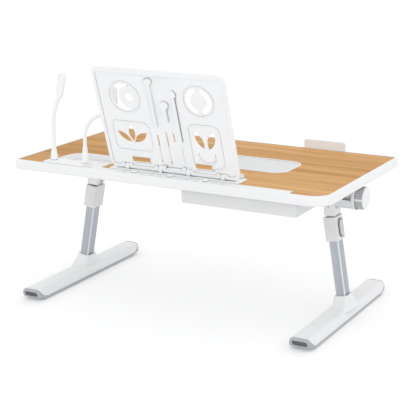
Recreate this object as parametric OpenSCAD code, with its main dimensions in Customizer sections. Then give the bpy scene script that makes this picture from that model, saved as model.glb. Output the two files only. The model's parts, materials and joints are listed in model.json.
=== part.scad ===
// Folding bed desk with a leaning book stand, a drawer, a gooseneck lamp and a small fan.
// X runs along the desk, +Y from the edge that the book stand leans over to the reader's edge,
// and Z is up. The floor is z = 0, and the origin is under the middle of the whole object.
// The modules measure y from the near edge of the table top. placed() moves it all to the origin.

/* [Table top] */
// Length of the table top
top_w = 600; // [570:1:720]
// Depth of the table top
top_d = 346; // [330:1:420]
// Height of the wooden surface above the floor
top_h = 256; // [244:1:310]
// Thickness of the table top
top_t = 16; // [15:0.5:20]
// Radius of the table top's near right corner
corner_r = 35; // [28:1:45]
// Radius of its other corners
small_r = 12; // [10:1:30]
// Width of the moulded edge rim
rim_w = 6; // [5:0.5:8]
// Height of the rim above the wood
rim_lip = 0.8; // [0.4:0.1:1.5]
// Rounding of the rim's outer edges
rim_round = 3; // [1:0.5:4]
// Thickness of the white panel under the wood
under_t = 4; // [3:0.5:5]

/* [Accessory strip, tray and hub] */
// Depth of the white strip along the near edge, rim included
strip_d = 20; // [18:1:24]
// Right end of the strip
strip_x1 = 235; // [225:1:240]
// Height of the strip above the wood
strip_rise = 1.2; // [0.6:0.1:2]
// Left side of the tray
tray_x0 = -236; // [-238:1:-232]
// Right side of the tray
tray_x1 = -129; // [-135:1:-122]
// Far side of the tray, from the near edge
tray_y1 = 107; // [100:1:120]
// Radius of the tray's far corners
tray_r = 34; // [20:1:40]
// Wall of the tray
tray_wall = 2; // [1.5:0.5:3]
// Floor of the tray
tray_floor = 1.6; // [1.2:0.2:2]
// Left end of the hub
hub_x0 = -240; // [-249:1:-240]
// Right end of the hub
hub_x1 = -158; // [-160:1:-150]
// Far side of the hub, from the near edge
hub_y1 = 40; // [39:1:44]
// Height of the hub above the wood
hub_rise = 3; // [2:0.5:6]

/* [Centre pad] */
// Length of the pad's frame
pad_w = 340; // [300:1:360]
// Near side of the pad's frame, from the near edge
pad_y0 = 125; // [120:1:132]
// Depth of the pad's frame
pad_d = 98; // [80:1:104]
// Corner radius of the pad's frame
pad_r = 27; // [15:1:35]
// Width of the pad's frame
pad_lip = 3; // [2:0.5:5]
// How deep the pad is let into the wood
pad_sink = 3; // [2:0.5:4]

/* [Drawer] */
// Left side of the drawer
drawer_x0 = 30; // [20:1:40]
// Width of the drawer
drawer_w = 211; // [190:1:214]
// Depth of the drawer
drawer_d = 124; // [100:1:128]
// Near face of the drawer, from the near edge
drawer_y0 = 20; // [16:1:24]
// Height of the drawer
drawer_h = 25; // [20:1:26]
// Gap between the drawer and the table top
drawer_gap = 1.5; // [1:0.25:2]
// Wall of the drawer
drawer_wall = 2; // [1.6:0.2:2.6]
// Width of the drawer's side flange
flange_w = 3; // [2.5:0.5:4]
// Thickness of the drawer's side flange
flange_t = 2; // [1.5:0.5:2.5]
// Running gap between a flange and its rail
rail_gap = 0.4; // [0.3:0.1:0.6]
// Wall of the drawer rails
rail_wall = 2; // [1.5:0.5:2.5]

/* [Book stand] */
// Width of the book stand
stand_w = 249; // [230:1:270]
// Length of the book stand along its slope
stand_l = 193; // [175:1:235]
// Depth of the book stand from its rear face to the far side of its spine
stand_t = 10; // [9:0.5:13]
// Lean of the book stand past upright, in degrees
stand_lean = 19.5; // [10:0.5:22]
// Middle of the book stand
stand_x = 12; // [5:1:20]
// Foot of the book stand's rear face, from the near edge
stand_y = 31.5; // [29:0.5:36]
// Gap between the book stand and the wood
stand_gap = 2; // [1.5:0.5:4]
// Corner radius of the book stand
stand_r = 13; // [8:1:18]
// Width of the book stand's border at its sides and foot
stand_rim = 6.5; // [5:0.5:10]
// Width of the border at its head
stand_head = 9.5; // [6:0.5:14]
// Thickness of the book stand's sheet
sheet_t = 2.5; // [2:0.25:3.5]
// Depth of the sheet behind the border's face
sheet_w = 1; // [0.5:0.25:1.5]
// Half width of the flat spine
spine_w = 16.5; // [14:0.5:18]
// Width of each slope beside the spine
slope_w = 18; // [12:1:22]
// Depth of the ledge in front of the stand
ledge_d = 28; // [22:1:36]
// Height of the ledge's lip
lip_h = 9; // [6:1:14]
// Radius of the stand's hinge pins
hinge_pin_r = 1.5; // [1.2:0.1:2]

/* [Lamp] */
// Place of the lamp along the desk
lamp_x = -231; // [-236:1:-229]
// Distance of the lamp and the fan from the near edge
lamp_y = 29; // [27:1:32]
// Radius of the lamp's neck
lamp_neck_r = 3.7; // [3:0.1:4.4]
// Straight length of the lamp's neck
lamp_neck_l = 42; // [35:1:70]
// Bend radius of the lamp's neck
lamp_bend_r = 95; // [60:5:120]
// Bend of the lamp's neck, in degrees
lamp_bend = 31; // [20:1:36]
// Length of the lamp's head
lamp_head_l = 47; // [36:1:60]
// Width of the lamp's head
lamp_head_w = 15; // [13:1:24]

/* [Fan] */
// Place of the fan along the desk
fan_x = -165.5; // [-170:0.5:-164]
// Radius of the fan's neck
fan_neck_r = 3.5; // [2.8:0.1:4]
// Straight length of the fan's neck
fan_neck_l = 19; // [14:1:30]
// Bend radius of the fan's neck
fan_bend_r = 40; // [35:1:50]
// Bend of the fan's neck, in degrees
fan_bend = 68; // [55:1:75]
// Turn of the bent neck away from the desk's length, in degrees
fan_turn = 27; // [15:1:40]
// Straight length of the neck beyond its bend
fan_tail_l = 15; // [8:0.5:16]
// Radius of the fan's blades
blade_r = 41; // [30:1:44]
// Width of a blade
blade_w = 14; // [10:1:18]

/* [Legs] */
// Distance of the fold hinge from the end of the table top
leg_inset = 62; // [58:1:75]
// Distance of the legs beyond the middle of the table top
leg_shift = 4; // [0:1:10]
// Outward lean of the legs, in degrees
splay = 9.6; // [6:0.2:12]
// Depth of the tilt axis below the table top
tilt_drop = 22; // [22:0.5:30]
// Depth of the fold hinge below the tilt axis
fold_drop = 19; // [16:0.5:20]
// Width of the leg tube
tube_w = 18; // [16:0.5:20]
// Depth of the leg tube
tube_d = 23; // [20:0.5:27]
// Wall of the leg tube
tube_wall = 1.5; // [1.2:0.1:2]
// Gap between the upper leg and the tube's bore
slide_gap = 0.3; // [0.2:0.05:0.5]
// Length of the collar at the top of the tube
collar_l = 42; // [40:1:50]
// Wall of the collar
collar_wall = 3; // [1.6:0.1:3.2]
// Extra wall of the collar at its near and far sides
collar_side = 2; // [1:0.1:3]
// How far the height adjusts
height_travel = 60; // [40:5:64]

/* [Tilt lock] */
// Radius of the tilt housing
housing_r = 21; // [20:0.5:22]
// Length of the tilt housing
housing_l = 31; // [26:1:34]
// Radius of the tilt knob
knob_r = 20; // [17:0.5:20]
// Thickness of the tilt knob's white face
knob_t = 2; // [1.5:0.1:4]
// Length of the knob's grey grip
grip_l = 13.4; // [9:0.1:14]
// Room behind the knob's grip, in the housing's ring
knob_gap = 4.6; // [4.5:0.1:6]
// Radius of the tilt shaft
shaft_r = 7; // [6:0.25:7.5]
// Radial clearance of turning parts
turn_gap = 0.05; // [0.03:0.01:0.08]

/* [Feet] */
// Length of a foot
foot_l = 353; // [300:1:400]
// Distance of a foot's middle behind its leg
foot_shift = 12.5; // [0:0.5:20]
// Width of a foot at its sole
foot_w = 41; // [38:1:56]
// Width of a foot's flat top
foot_top_w = 25; // [22:1:32]
// Height of a foot
foot_h = 22; // [20:1:28]
// Height of the sole band
sole_h = 6; // [4:0.5:8]
// Height of the top of the foot's socket
socket_h = 42; // [36:1:50]
// Wall of the socket
socket_wall = 3; // [2.5:0.5:4]
// Depth of the tube in the socket
socket_sink = 14; // [10:1:18]

/* [Far edge stopper] */
// Middle of the stopper
stopper_x = 155.5; // [120:0.5:180]
// Width of the stopper
stopper_w = 81; // [60:1:100]
// Height of the stopper above the rim
stopper_h = 16; // [10:1:24]
// Thickness of the stopper
stopper_t = 5.4; // [4:0.2:6]
// Radius of the stopper's pegs
peg_r = 1.6; // [1.2:0.1:2]
// Length of the stopper's pegs
peg_l = 9; // [6:1:11]

/* [Hidden] */
$fn = 72;

WHITE = [0.94, 0.94, 0.94];
SHELL_WHITE = [0.88, 0.88, 0.89];
SHADE_WHITE = [0.80, 0.81, 0.82];
DRAWER_WHITE = [0.90, 0.90, 0.90];
WOOD = [0.84, 0.66, 0.43];
PAD_GREY = [0.80, 0.81, 0.82];
ALUMINIUM = [0.72, 0.74, 0.77];
SOLE_GREY = [0.60, 0.61, 0.63];
INSERT_GREY = [0.36, 0.37, 0.39];
STEEL = [0.62, 0.63, 0.65];
GRIP_GREY = [0.60, 0.60, 0.61];
LENS = [0.97, 0.96, 0.90];

// A length by which a cutting solid runs past what it cuts
past = 1;
// Gap between parts on different bodies that lie against each other
seat = 0.3;

under_z = top_h - top_t;
board_z = under_z + under_t;
rim_top = top_h + rim_lip;
half_w = top_w / 2;

// The book stand's rear face is the object's near side, and the table top's edge is its far side.
stand_over = stand_l * sin(stand_lean) - stand_y;
near_y = (stand_over - top_d) / 2;

module placed() { translate([0, near_y, 0]) children(); }
module left_side() { mirror([1, 0, 0]) children(); }

// ---- plain shapes ----

// A rectangle from its low corner, with all four corners round
module round_rect(w, d, r) {
    translate([r, 0]) square([w - 2 * r, d]);
    translate([0, r]) square([w, d - 2 * r]);
    for (x = [r, w - r], y = [r, d - r]) translate([x, y]) circle(r);
}

// The same about its middle
module round_rect_mid(w, d, r) { translate([-w / 2, -d / 2]) round_rect(w, d, r); }

// An oval with round ends along y
module oval(w, l) {
    square([w, l - w], center = true);
    for (y = [-1, 1]) translate([0, y * (l - w) / 2]) circle(w / 2);
}

// A shape drawn in x and z, given its thickness from y0 to y1
module upright(y0, y1) { translate([0, y1, 0]) rotate([90, 0, 0]) linear_extrude(y1 - y0) children(); }

// A shape drawn in y and z, given its thickness from x0 to x1
module sideways(x0, x1) { translate([x0, 0, 0]) rotate([90, 0, 90]) linear_extrude(x1 - x0) children(); }

// A cylinder along x from x0 to x1
module rod_x(x0, x1, r) { translate([x0, 0, 0]) rotate([0, 90, 0]) cylinder(h = x1 - x0, r = r); }

// A cylinder along y from y0 to y1
module rod_y(y0, y1, r) { translate([0, y1, 0]) rotate([90, 0, 0]) cylinder(h = y1 - y0, r = r); }

// A pan-head screw that points up, its head's lower face at z = 0
module screw(head_r, head_h, shank_r, shank_l) {
    difference() {
        cylinder(h = head_h, r = head_r);
        for (a = [0, 90]) rotate(a) cube([head_r * 1.2, head_r * 0.25, head_h], center = true);
    }
    cylinder(h = head_h + shank_l, r = shank_r);
}

// How much thinner a bent neck is than its straight part, and how far the two overlap
bend_step = 0.1;

// A bend of a round neck that starts upward at the origin and leans towards +x
module neck_bend(radius, angle, r) {
    translate([radius, 0, 0]) rotate([90, 0, 0]) rotate([0, 0, 180 - angle])
        rotate_extrude(angle = angle) translate([radius, 0]) circle(r - bend_step);
}

// Moves to the end of such a bend
module at_bend_end(radius, angle) {
    translate([radius * (1 - cos(angle)), 0, radius * sin(angle)]) rotate([0, angle, 0]) children();
}

// ---- table top ----

// The top's corners, anticlockwise from the near right one: side in x, side in y, radius
corners = [[1, 0, corner_r], [1, 1, small_r], [-1, 1, small_r], [-1, 0, small_r]];

// Middle of a corner's rounding
function corner_mid(c) = [c[0] * (half_w - c[2]), c[1] > 0 ? top_d - c[2] : c[2]];

// Outline of the table top, drawn in by inset
module top_outline(inset) {
    difference() {
        translate([-half_w + inset, inset]) square([top_w - 2 * inset, top_d - 2 * inset]);
        for (c = corners) translate([c[0] * half_w, c[1] * top_d]) square(2 * c[2], center = true);
    }
    for (c = corners) translate(corner_mid(c)) circle(c[2] - inset);
}

// Section of the rim: x runs outwards from the rim's inner wall, y is height above the underside
module rim_section() {
    h = rim_top - under_z;
    square([rim_w - rim_round, h]);
    translate([0, rim_round]) square([rim_w, h - 2 * rim_round]);
    for (y = [rim_round, h - rim_round]) translate([rim_w - rim_round, y]) circle(rim_round);
}

module edge_rim() {
    placed() color(WHITE) difference() {
        translate([0, 0, under_z]) for (i = [0:3]) {
            a = corners[i];
            b = corners[(i + 1) % 4];
            // the corner, then the straight side that runs on from it to the next corner
            translate(corner_mid(a)) rotate(90 * i - 90)
                rotate_extrude(angle = 90) translate([a[2] - rim_w, 0]) rim_section();
            side_l = (i % 2 == 0 ? top_d : top_w) - a[2] - b[2];
            translate(corner_mid(a)) rotate(90 * i) translate([a[2] - rim_w, side_l, 0])
                rotate([90, 0, 0]) linear_extrude(side_l) rim_section();
        }
        stopper_pegs(peg_r + turn_gap, rim_top - peg_l - seat);
    }
}

// Outline of the tray: square near corners, round far corners
module tray_outline(inset) {
    w = tray_x1 - tray_x0 - 2 * inset;
    r = tray_r - inset;
    translate([tray_x0 + inset, rim_w + inset]) {
        translate([r, 0]) square([w - 2 * r, tray_y1 - rim_w - 2 * inset]);
        square([w, tray_y1 - rim_w - 2 * inset - r]);
        for (x = [r, w - r]) translate([x, tray_y1 - rim_w - 2 * inset - r]) circle(r);
    }
}

module hub_outline() {
    translate([hub_x0, rim_w]) square([hub_x1 - hub_x0, hub_y1 - rim_w]);
}

module strip_outline() {
    translate([tray_x1, rim_w]) square([strip_x1 - tray_x1, strip_d - rim_w]);
}

module pad_outline(inset) {
    translate([-pad_w / 2 + inset, pad_y0 + inset])
        round_rect(pad_w - 2 * inset, pad_d - 2 * inset, pad_r - inset);
}

module wood_top() {
    placed() color(WOOD) difference() {
        translate([0, 0, board_z]) linear_extrude(top_h - board_z) top_outline(rim_w);
        translate([0, 0, board_z - past]) linear_extrude(top_t + past) {
            tray_outline(0);
            hub_outline();
            strip_outline();
        }
        translate([0, 0, top_h - pad_sink]) linear_extrude(pad_sink + past) pad_outline(0);
    }
}

module underside_panel() {
    placed() color(WHITE) difference() {
        translate([0, 0, under_z]) linear_extrude(under_t) top_outline(rim_w);
        each_screw_place() translate([0, 0, -past]) cylinder(h = under_t + 2 * past, r = screw_r);
    }
}

// Slots in the strip that the stand's base plugs into
slot_pitch = 17;
slot_l = 9;
slot_w = 3;
slot_rows = [-5:1:6];
slot_y = 11;
// The slots that hold the base of the book stand
plug_slots = [-4, 0, 4];

module accessory_strip() {
    placed() color(WHITE) difference() {
        union() {
            translate([0, 0, board_z]) linear_extrude(top_h - board_z) strip_outline();
            translate([tray_x1, rim_w, top_h]) cube([strip_x1 - tray_x1, strip_d - rim_w, strip_rise]);
        }
        for (i = slot_rows)
            translate([stand_x + i * slot_pitch - slot_l / 2, slot_y - slot_w / 2, top_h - slot_w])
                cube([slot_l, slot_w, slot_w + strip_rise + past]);
    }
}

module storage_tray() {
    placed() color(WHITE) difference() {
        translate([0, 0, board_z]) linear_extrude(rim_top - board_z) tray_outline(0);
        translate([0, 0, board_z + tray_floor]) linear_extrude(top_t) tray_outline(tray_wall);
        translate([0, 0, board_z + tray_floor]) linear_extrude(top_t) hub_outline();
    }
}

module pad_frame() {
    placed() color(WHITE) translate([0, 0, top_h - pad_sink]) linear_extrude(pad_sink + rim_lip)
        difference() {
            pad_outline(0);
            pad_outline(pad_lip);
        }
}

module desk_pad() {
    placed() color(PAD_GREY) translate([0, 0, top_h - pad_sink])
        linear_extrude(pad_sink - rim_lip) pad_outline(pad_lip);
}

// ---- hub, lamp and fan ----

hub_top = top_h + hub_rise;
hub_floor = board_z + tray_floor;
hub_wall = 2;
plug_w = 12;
plug_d = 4.5;
plug_l = 11;
port_w = 13;
port_h = 6;
port_depth = 8;
port_wall = 1;
lamp_base_r = 6.8;
lamp_base_l = 20;
fan_base_r = 6.8;
fan_base_l = 28;
// How much wider a base is than its neck where they meet
base_step = 0.9;

module lamp_place() { translate([lamp_x, lamp_y, hub_top]) children(); }
module fan_place() { translate([fan_x, lamp_y, hub_top]) children(); }

// A connector's metal shell, pointing down from z = 0
module plug_shell(gap) {
    translate([-plug_w / 2 - gap, -plug_d / 2 - gap, -plug_l - gap])
        cube([plug_w + 2 * gap, plug_d + 2 * gap, plug_l + gap + (gap > 0 ? past : 0)]);
}

// Places of the two spare ports in the hub's far wall
module each_port() {
    for (x = [-1, 1])
        translate([(hub_x0 + hub_x1) / 2 + x * port_w, hub_y1, (hub_floor + hub_top) / 2]) children();
}

module hub_case() {
    // the left end stands on the panel, and the rest on the tray's floor
    placed() color(WHITE) difference() {
        union() {
            translate([hub_x0, rim_w, hub_floor])
                cube([hub_x1 - hub_x0, hub_y1 - rim_w, hub_top - hub_floor]);
            translate([hub_x0, rim_w, board_z]) cube([tray_x0 - hub_x0, hub_y1 - rim_w, tray_floor]);
        }
        lamp_place() plug_shell(seat);
        fan_place() plug_shell(seat);
        each_port() translate([-port_w / 2, -port_depth, -port_h / 2])
            cube([port_w, port_depth + past, port_h]);
    }
}

// Metal liners of the spare ports, each with its tongue
module hub_ports() {
    placed() color(STEEL) each_port() difference() {
        translate([-port_w / 2, -port_depth, -port_h / 2]) cube([port_w, port_depth, port_h]);
        for (z = [0, 1])
            translate([-port_w / 2 + port_wall / 2, -port_depth + port_wall,
                       z > 0 ? port_wall / 2 : -port_h / 2 + port_wall / 2])
                cube([port_w - port_wall, port_depth, port_h / 2 - port_wall]);
    }
}

module lamp_plug() { placed() color(STEEL) lamp_place() plug_shell(0); }
module fan_plug() { placed() color(STEEL) fan_place() plug_shell(0); }

module lamp_base() {
    placed() color(WHITE) lamp_place() rotate_extrude()
        polygon([[0, 0], [lamp_base_r, 0], [lamp_base_r, 6], [lamp_neck_r + base_step, lamp_base_l],
                 [0, lamp_base_l]]);
}

module fan_base() {
    placed() color(WHITE) fan_place() rotate_extrude()
        polygon([[0, 0], [fan_base_r, 0], [fan_base_r, 5], [fan_neck_r + base_step, fan_base_l],
                 [0, fan_base_l]]);
}

module at_lamp_end() {
    lamp_place() translate([0, 0, lamp_base_l + lamp_neck_l]) at_bend_end(lamp_bend_r, lamp_bend)
        children();
}

module lamp_neck() {
    placed() color(WHITE) lamp_place() translate([0, 0, lamp_base_l]) {
        cylinder(h = lamp_neck_l + bend_step, r = lamp_neck_r);
        translate([0, 0, lamp_neck_l]) neck_bend(lamp_bend_r, lamp_bend, lamp_neck_r);
    }
}

// The head leans back from the end of the neck's bend
lamp_head_back = 20;
lamp_head_t = 8.4;
lens_t = 1.2;

module at_lamp_head() { at_lamp_end() rotate([0, -lamp_head_back, 0]) children(); }

module lamp_head_outline(inset) {
    translate([-lamp_head_w / 2 + inset, inset - 2])
        round_rect(lamp_head_w - 2 * inset, lamp_head_l - 2 * inset, lamp_head_w / 2 - inset - 0.5);
}

module lamp_head() {
    placed() color(WHITE) at_lamp_head() difference() {
        upright(-lamp_head_t / 2, lamp_head_t / 2) lamp_head_outline(0);
        upright(lamp_head_t / 2 - lens_t, lamp_head_t) lamp_head_outline(2);
        rotate([0, lamp_head_back, 0]) translate([0, 0, -lamp_head_l])
            cylinder(h = lamp_head_l, r = lamp_neck_r);
    }
}

module lamp_lens() {
    placed() color(LENS) at_lamp_head() upright(lamp_head_t / 2 - lens_t, lamp_head_t / 2)
        lamp_head_outline(2);
}

// The bent part of the fan's neck and the straight tail beyond it
module fan_bent_neck() {
    fan_place() translate([0, 0, fan_base_l + fan_neck_l]) rotate([0, 0, fan_turn]) {
        neck_bend(fan_bend_r, fan_bend, fan_neck_r);
        at_bend_end(fan_bend_r, fan_bend) translate([0, 0, -bend_step])
            cylinder(h = fan_tail_l + bend_step, r = fan_neck_r);
    }
}

module fan_neck() {
    placed() color(WHITE) {
        fan_place() translate([0, 0, fan_base_l]) cylinder(h = fan_neck_l + bend_step, r = fan_neck_r);
        fan_bent_neck();
    }
}

motor_r = 11;
motor_l = 16;
motor_reach = 7;
shaft_pin_r = 1.2;
shaft_pin_l = 9;
blade_t = 1.4;
blade_hub_r = 5;
blade_hub_l = 6;
blade_pitch = 16;

// Middle of the motor, with the fan's axis along +y
beyond_bend = fan_tail_l + motor_reach;
fan_reach = fan_bend_r * (1 - cos(fan_bend)) + beyond_bend * sin(fan_bend);
module fan_centre() {
    fan_place() translate([fan_reach * cos(fan_turn), fan_reach * sin(fan_turn),
        fan_base_l + fan_neck_l + fan_bend_r * sin(fan_bend) + beyond_bend * cos(fan_bend)])
        children();
}

module fan_motor() {
    placed() color(WHITE) difference() {
        fan_centre() {
            rod_y(-motor_l / 2, motor_l / 2, motor_r);
            rod_y(motor_l / 2, motor_l / 2 + shaft_pin_l, shaft_pin_r);
            translate([0, -motor_l / 2, 0]) sphere(motor_r * 0.6);
        }
        fan_bent_neck();
    }
}

module fan_blades() {
    placed() color(WHITE) fan_centre() translate([0, motor_l / 2 + seat + 1, 0]) difference() {
        union() {
            rod_y(0, blade_hub_l, blade_hub_r);
            for (a = [0, 180]) rotate([0, a, 0]) translate([0, blade_hub_l / 2, 0])
                rotate([0, 0, blade_pitch]) upright(-blade_t / 2, blade_t / 2)
                    translate([-blade_w / 2, 0]) round_rect(blade_w, blade_r, 5);
        }
        rod_y(-past, shaft_pin_l, shaft_pin_r + turn_gap);
    }
}

// ---- drawer ----

drawer_top = under_z - drawer_gap;
drawer_x1 = drawer_x0 + drawer_w;
drawer_r = 4;
rail_h = drawer_gap + flange_t + 2 * rail_gap + rail_wall;
screw_r = 1.6;
rail_foot = 9;
notch_w = 14;
notch_h = 3.2;
// The finger notch is cut in the near face, right of its middle
notch_x = drawer_x0 + drawer_w * 0.66;

module drawer_box() {
    placed() color(DRAWER_WHITE) difference() {
        union() {
            translate([drawer_x0, drawer_y0, drawer_top - drawer_h]) linear_extrude(drawer_h)
                round_rect(drawer_w, drawer_d, drawer_r);
            translate([drawer_x0 - flange_w, drawer_y0 + drawer_r, drawer_top - flange_t])
                cube([drawer_w + 2 * flange_w, drawer_d - 2 * drawer_r, flange_t]);
        }
        translate([drawer_x0 + drawer_wall, drawer_y0 + drawer_wall,
                   drawer_top - drawer_h + drawer_wall]) linear_extrude(drawer_h)
            round_rect(drawer_w - 2 * drawer_wall, drawer_d - 2 * drawer_wall, drawer_r - drawer_wall);
        translate([notch_x - notch_w / 2, 0, drawer_top - notch_h])
            upright(drawer_y0 - past, drawer_y0 + drawer_wall + past)
                round_rect(notch_w, 2 * notch_h, notch_h * 0.9);
    }
}

// One C-shaped rail, closed at its far end, with its open side towards +x
module drawer_rail() {
    h = rail_h;
    w = flange_w - seat + rail_wall;
    slot_h = flange_t + 2 * rail_gap;
    difference() {
        union() {
            translate([-rail_wall - seat, drawer_y0 + drawer_r, under_z - h])
                cube([w, drawer_d - 2 * drawer_r + rail_gap + rail_wall, h]);
            translate([-rail_wall - seat - rail_foot, drawer_y0 + drawer_r, under_z - rail_wall])
                cube([rail_foot + rail_wall, drawer_d - 2 * drawer_r + rail_gap + rail_wall, rail_wall]);
        }
        translate([-seat, drawer_y0, drawer_top - flange_t - rail_gap])
            cube([w + past, drawer_d - drawer_r + rail_gap, slot_h]);
        translate([-seat, drawer_y0, drawer_top - flange_t])
            cube([w + past, drawer_d - drawer_r + rail_gap, flange_t + drawer_gap]);
        rail_screw_places() cylinder(h = 2 * h, r = screw_r, center = true);
    }
}

// Screw places of one rail
module rail_screw_places() {
    for (y = [0.12, 0.88])
        translate([-rail_wall - seat - rail_foot / 2, drawer_y0 + y * drawer_d, under_z]) children();
}

module at_left_rail() { translate([drawer_x0 - flange_w, 0, 0]) children(); }
module at_right_rail() { translate([drawer_x1 + flange_w, 0, 0]) mirror([1, 0, 0]) children(); }

module drawer_rails() {
    placed() color(DRAWER_WHITE) {
        at_left_rail() drawer_rail();
        at_right_rail() drawer_rail();
    }
}

screw_head_r = 3;
screw_head_h = 1.6;

module rail_screw() {
    translate([0, 0, -rail_wall - screw_head_h])
        screw(screw_head_r, screw_head_h, screw_r, rail_wall + under_t);
}

module rail_screws() {
    placed() color(STEEL) {
        at_left_rail() rail_screw_places() rail_screw();
        at_right_rail() rail_screw_places() rail_screw();
    }
}

// Every screw that goes up into the panel under the wood
module each_screw_place() {
    at_left_rail() rail_screw_places() children();
    at_right_rail() rail_screw_places() children();
    housing_screw_places() children();
    left_side() housing_screw_places() children();
}

// ---- book stand ----

stand_z = top_h + stand_gap + strip_rise;
ledge_y1 = stand_y + ledge_d;
// Height of the hinge pins up the stand, and their depth behind its rear face
hinge_v = 6;
hinge_w = stand_t / 2;
knuckle_r = 4.5;
lug_w = 7;
lug_places = [-92, -27, 27, 92];
base_t = 2;

module at_stand() { translate([stand_x, stand_y, stand_z]) rotate([stand_lean, 0, 0]) children(); }

// The hinge axis, along x
hinge_y = stand_y + hinge_w * cos(stand_lean) - hinge_v * sin(stand_lean);
hinge_z = stand_z + hinge_v * cos(stand_lean) + hinge_w * sin(stand_lean);

module stand_outline(inset) {
    translate([-stand_w / 2 + inset, inset])
        round_rect(stand_w - 2 * inset, stand_l - 2 * inset, stand_r - inset);
}

// The border is as thick as the sheet is deep
edge_t = sheet_w + sheet_t;
spine_drop = stand_t - sheet_t - 0.5 - sheet_w;

// The far side of the sheet from right to left: a flat page, a slope, the spine, a slope, a page
sheet_half = stand_w / 2 - stand_rim + 1;
sheet_far = [
    [sheet_half, edge_t], [spine_w + slope_w + 1, edge_t],
    [spine_w + 1, edge_t + spine_drop], [-spine_w - 1, edge_t + spine_drop],
    [-spine_w - slope_w - 1, edge_t], [-sheet_half, edge_t]
];

// Section of the stand's sheet
module sheet_section() {
    polygon(concat([
        [-sheet_half, sheet_w], [-spine_w - slope_w, sheet_w], [-spine_w, sheet_w + spine_drop],
        [spine_w, sheet_w + spine_drop], [spine_w + slope_w, sheet_w], [sheet_half, sheet_w]
    ], sheet_far));
}

// Section of the walls that close the channel of the spine at its head and foot
module end_section() {
    polygon(concat([[-sheet_half, 0], [sheet_half, 0]], sheet_far));
}

// What the border runs round
module page_outline() {
    translate([-stand_w / 2 + stand_rim, stand_rim])
        round_rect(stand_w - 2 * stand_rim, stand_l - stand_rim - stand_head, stand_r - stand_rim);
}

// Middle of each page's openings, and of the windows at its foot
page_mid = stand_w * 0.28;
window_x = stand_w * 0.245;

// A leaf-shaped opening along y
module leaf(l, w) {
    r = (l * l / 4 + w * w / 4) / w;
    intersection() {
        translate([r - w / 2, 0]) circle(r);
        translate([-r + w / 2, 0]) circle(r);
    }
}

// A crescent that opens towards +x
module crescent(r, thick) {
    difference() {
        circle(r);
        translate([thick, 0]) circle(r - thick * 0.35);
    }
}

// Openings of the pages, drawn in x and height up the stand
module page_openings() {
    // upper left: a crescent round a small disc
    translate([-page_mid, stand_l * 0.72]) {
        crescent(25, 11);
        translate([9, 0]) circle(7.5);
    }
    // lower left: three leaves on a fan of stalks
    translate([-page_mid, stand_l * 0.26])
        for (a = [-52, 0, 52]) rotate(a) translate([0, 20]) leaf(34, 13);
    // upper right: a ring of two bows
    translate([page_mid, stand_l * 0.74]) difference() {
        circle(24);
        circle(15);
        square([8, 60], center = true);
    }
    // lower right: two leaves side by side over a crescent
    translate([page_mid, stand_l * 0.30]) {
        for (x = [-1, 1]) translate([x * 11, 12]) rotate(-x * 22) leaf(36, 14);
        translate([0, -20]) rotate(90) crescent(17, 7);
    }
}

// Raised borders of the pages' openings
module page_borders() {
    translate([-page_mid, stand_l * 0.72]) difference() { circle(30); circle(27.5); }
    translate([page_mid, stand_l * 0.74]) difference() { circle(28.5); circle(26.5); }
    translate([-page_mid, stand_l * 0.26 + 14]) difference() {
        round_rect_mid(74, 58, 12);
        round_rect_mid(69, 53, 10);
    }
    translate([page_mid, stand_l * 0.30]) difference() {
        round_rect_mid(60, 84, 14);
        round_rect_mid(55.5, 79.5, 12);
    }
}

// Straight slots of the spine and the slopes
module spine_openings() {
    for (s = [[-spine_w - 6, 0.08, 0.36], [-6, 0.06, 0.42], [8, 0.30, 0.42], [spine_w + 5, 0.10, 0.24]])
        translate([s[0], stand_l * (s[1] + s[2]) / 2]) oval(3.2, stand_l * (s[2] - s[1]));
}

// Plain ribs with round heads on the spine and the slopes
module spine_ribs() {
    for (s = [[-spine_w - 4, 0.44, 0.88, 6], [2, 0.50, 0.66, 7], [spine_w + 7, 0.32, 0.78, 6]])
        translate([s[0], stand_l * s[1]]) {
            translate([-2, 0]) square([4, stand_l * (s[2] - s[1])]);
            translate([0, stand_l * (s[2] - s[1])]) circle(s[3]);
        }
}

window_w = 38;
window_h = 18;
// How far the raised borders stand out of the pages
border_rise = 0.8;

module stand_panel() {
    placed() color(WHITE) at_stand() difference() {
        union() {
            upright(0, edge_t) difference() {
                stand_outline(0);
                page_outline();
            }
            intersection() {
                union() {
                    linear_extrude(stand_l) sheet_section();
                    linear_extrude(stand_rim) end_section();
                    translate([0, 0, stand_l - stand_head]) linear_extrude(stand_head) end_section();
                }
                upright(-past, stand_t + past) stand_outline(stand_rim / 2);
            }
            upright(sheet_w - border_rise, sheet_w + sheet_t / 2) intersection() {
                page_borders();
                stand_outline(stand_rim / 2);
            }
            upright(sheet_w, sheet_w + spine_drop + sheet_t / 2) spine_ribs();
            for (x = lug_places, side = [-1, 1]) translate([x + side * (lug_w + seat), 0, hinge_v]) {
                translate([0, hinge_w, 0]) rod_x(-lug_w / 2, lug_w / 2, knuckle_r);
                translate([-lug_w / 2, 0, -knuckle_r]) cube([lug_w, hinge_w, 2 * knuckle_r]);
            }
        }
        upright(-past, stand_t + past) {
            page_openings();
            spine_openings();
            for (x = [-1, 1]) translate([x * window_x - window_w / 2, stand_rim + 1.5])
                square([window_w, window_h]);
        }
        for (x = lug_places) translate([x - lug_w / 2 - seat, -past, -past])
            cube([lug_w + 2 * seat, stand_t + 2 * past, hinge_v + knuckle_r + past]);
        translate([0, hinge_w, hinge_v]) for (x = lug_places)
            rod_x(x - lug_w * 1.5 - past, x + lug_w * 1.5 + past, hinge_pin_r + turn_gap);
    }
}

// The ledge's lip, and the pins on it that the page clips turn on
ledge_round = 6;
lip_t = 4;
lip_inset = 8;
clip_w = 8;
clip_l = 30;
clip_t = 2;
clip_pin_r = 1.5;
clip_x = 60;
clip_z = top_h + clip_w / 2 + 1;
module clip_place(side) { translate([stand_x + side * clip_x, ledge_y1, clip_z]) children(); }

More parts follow.
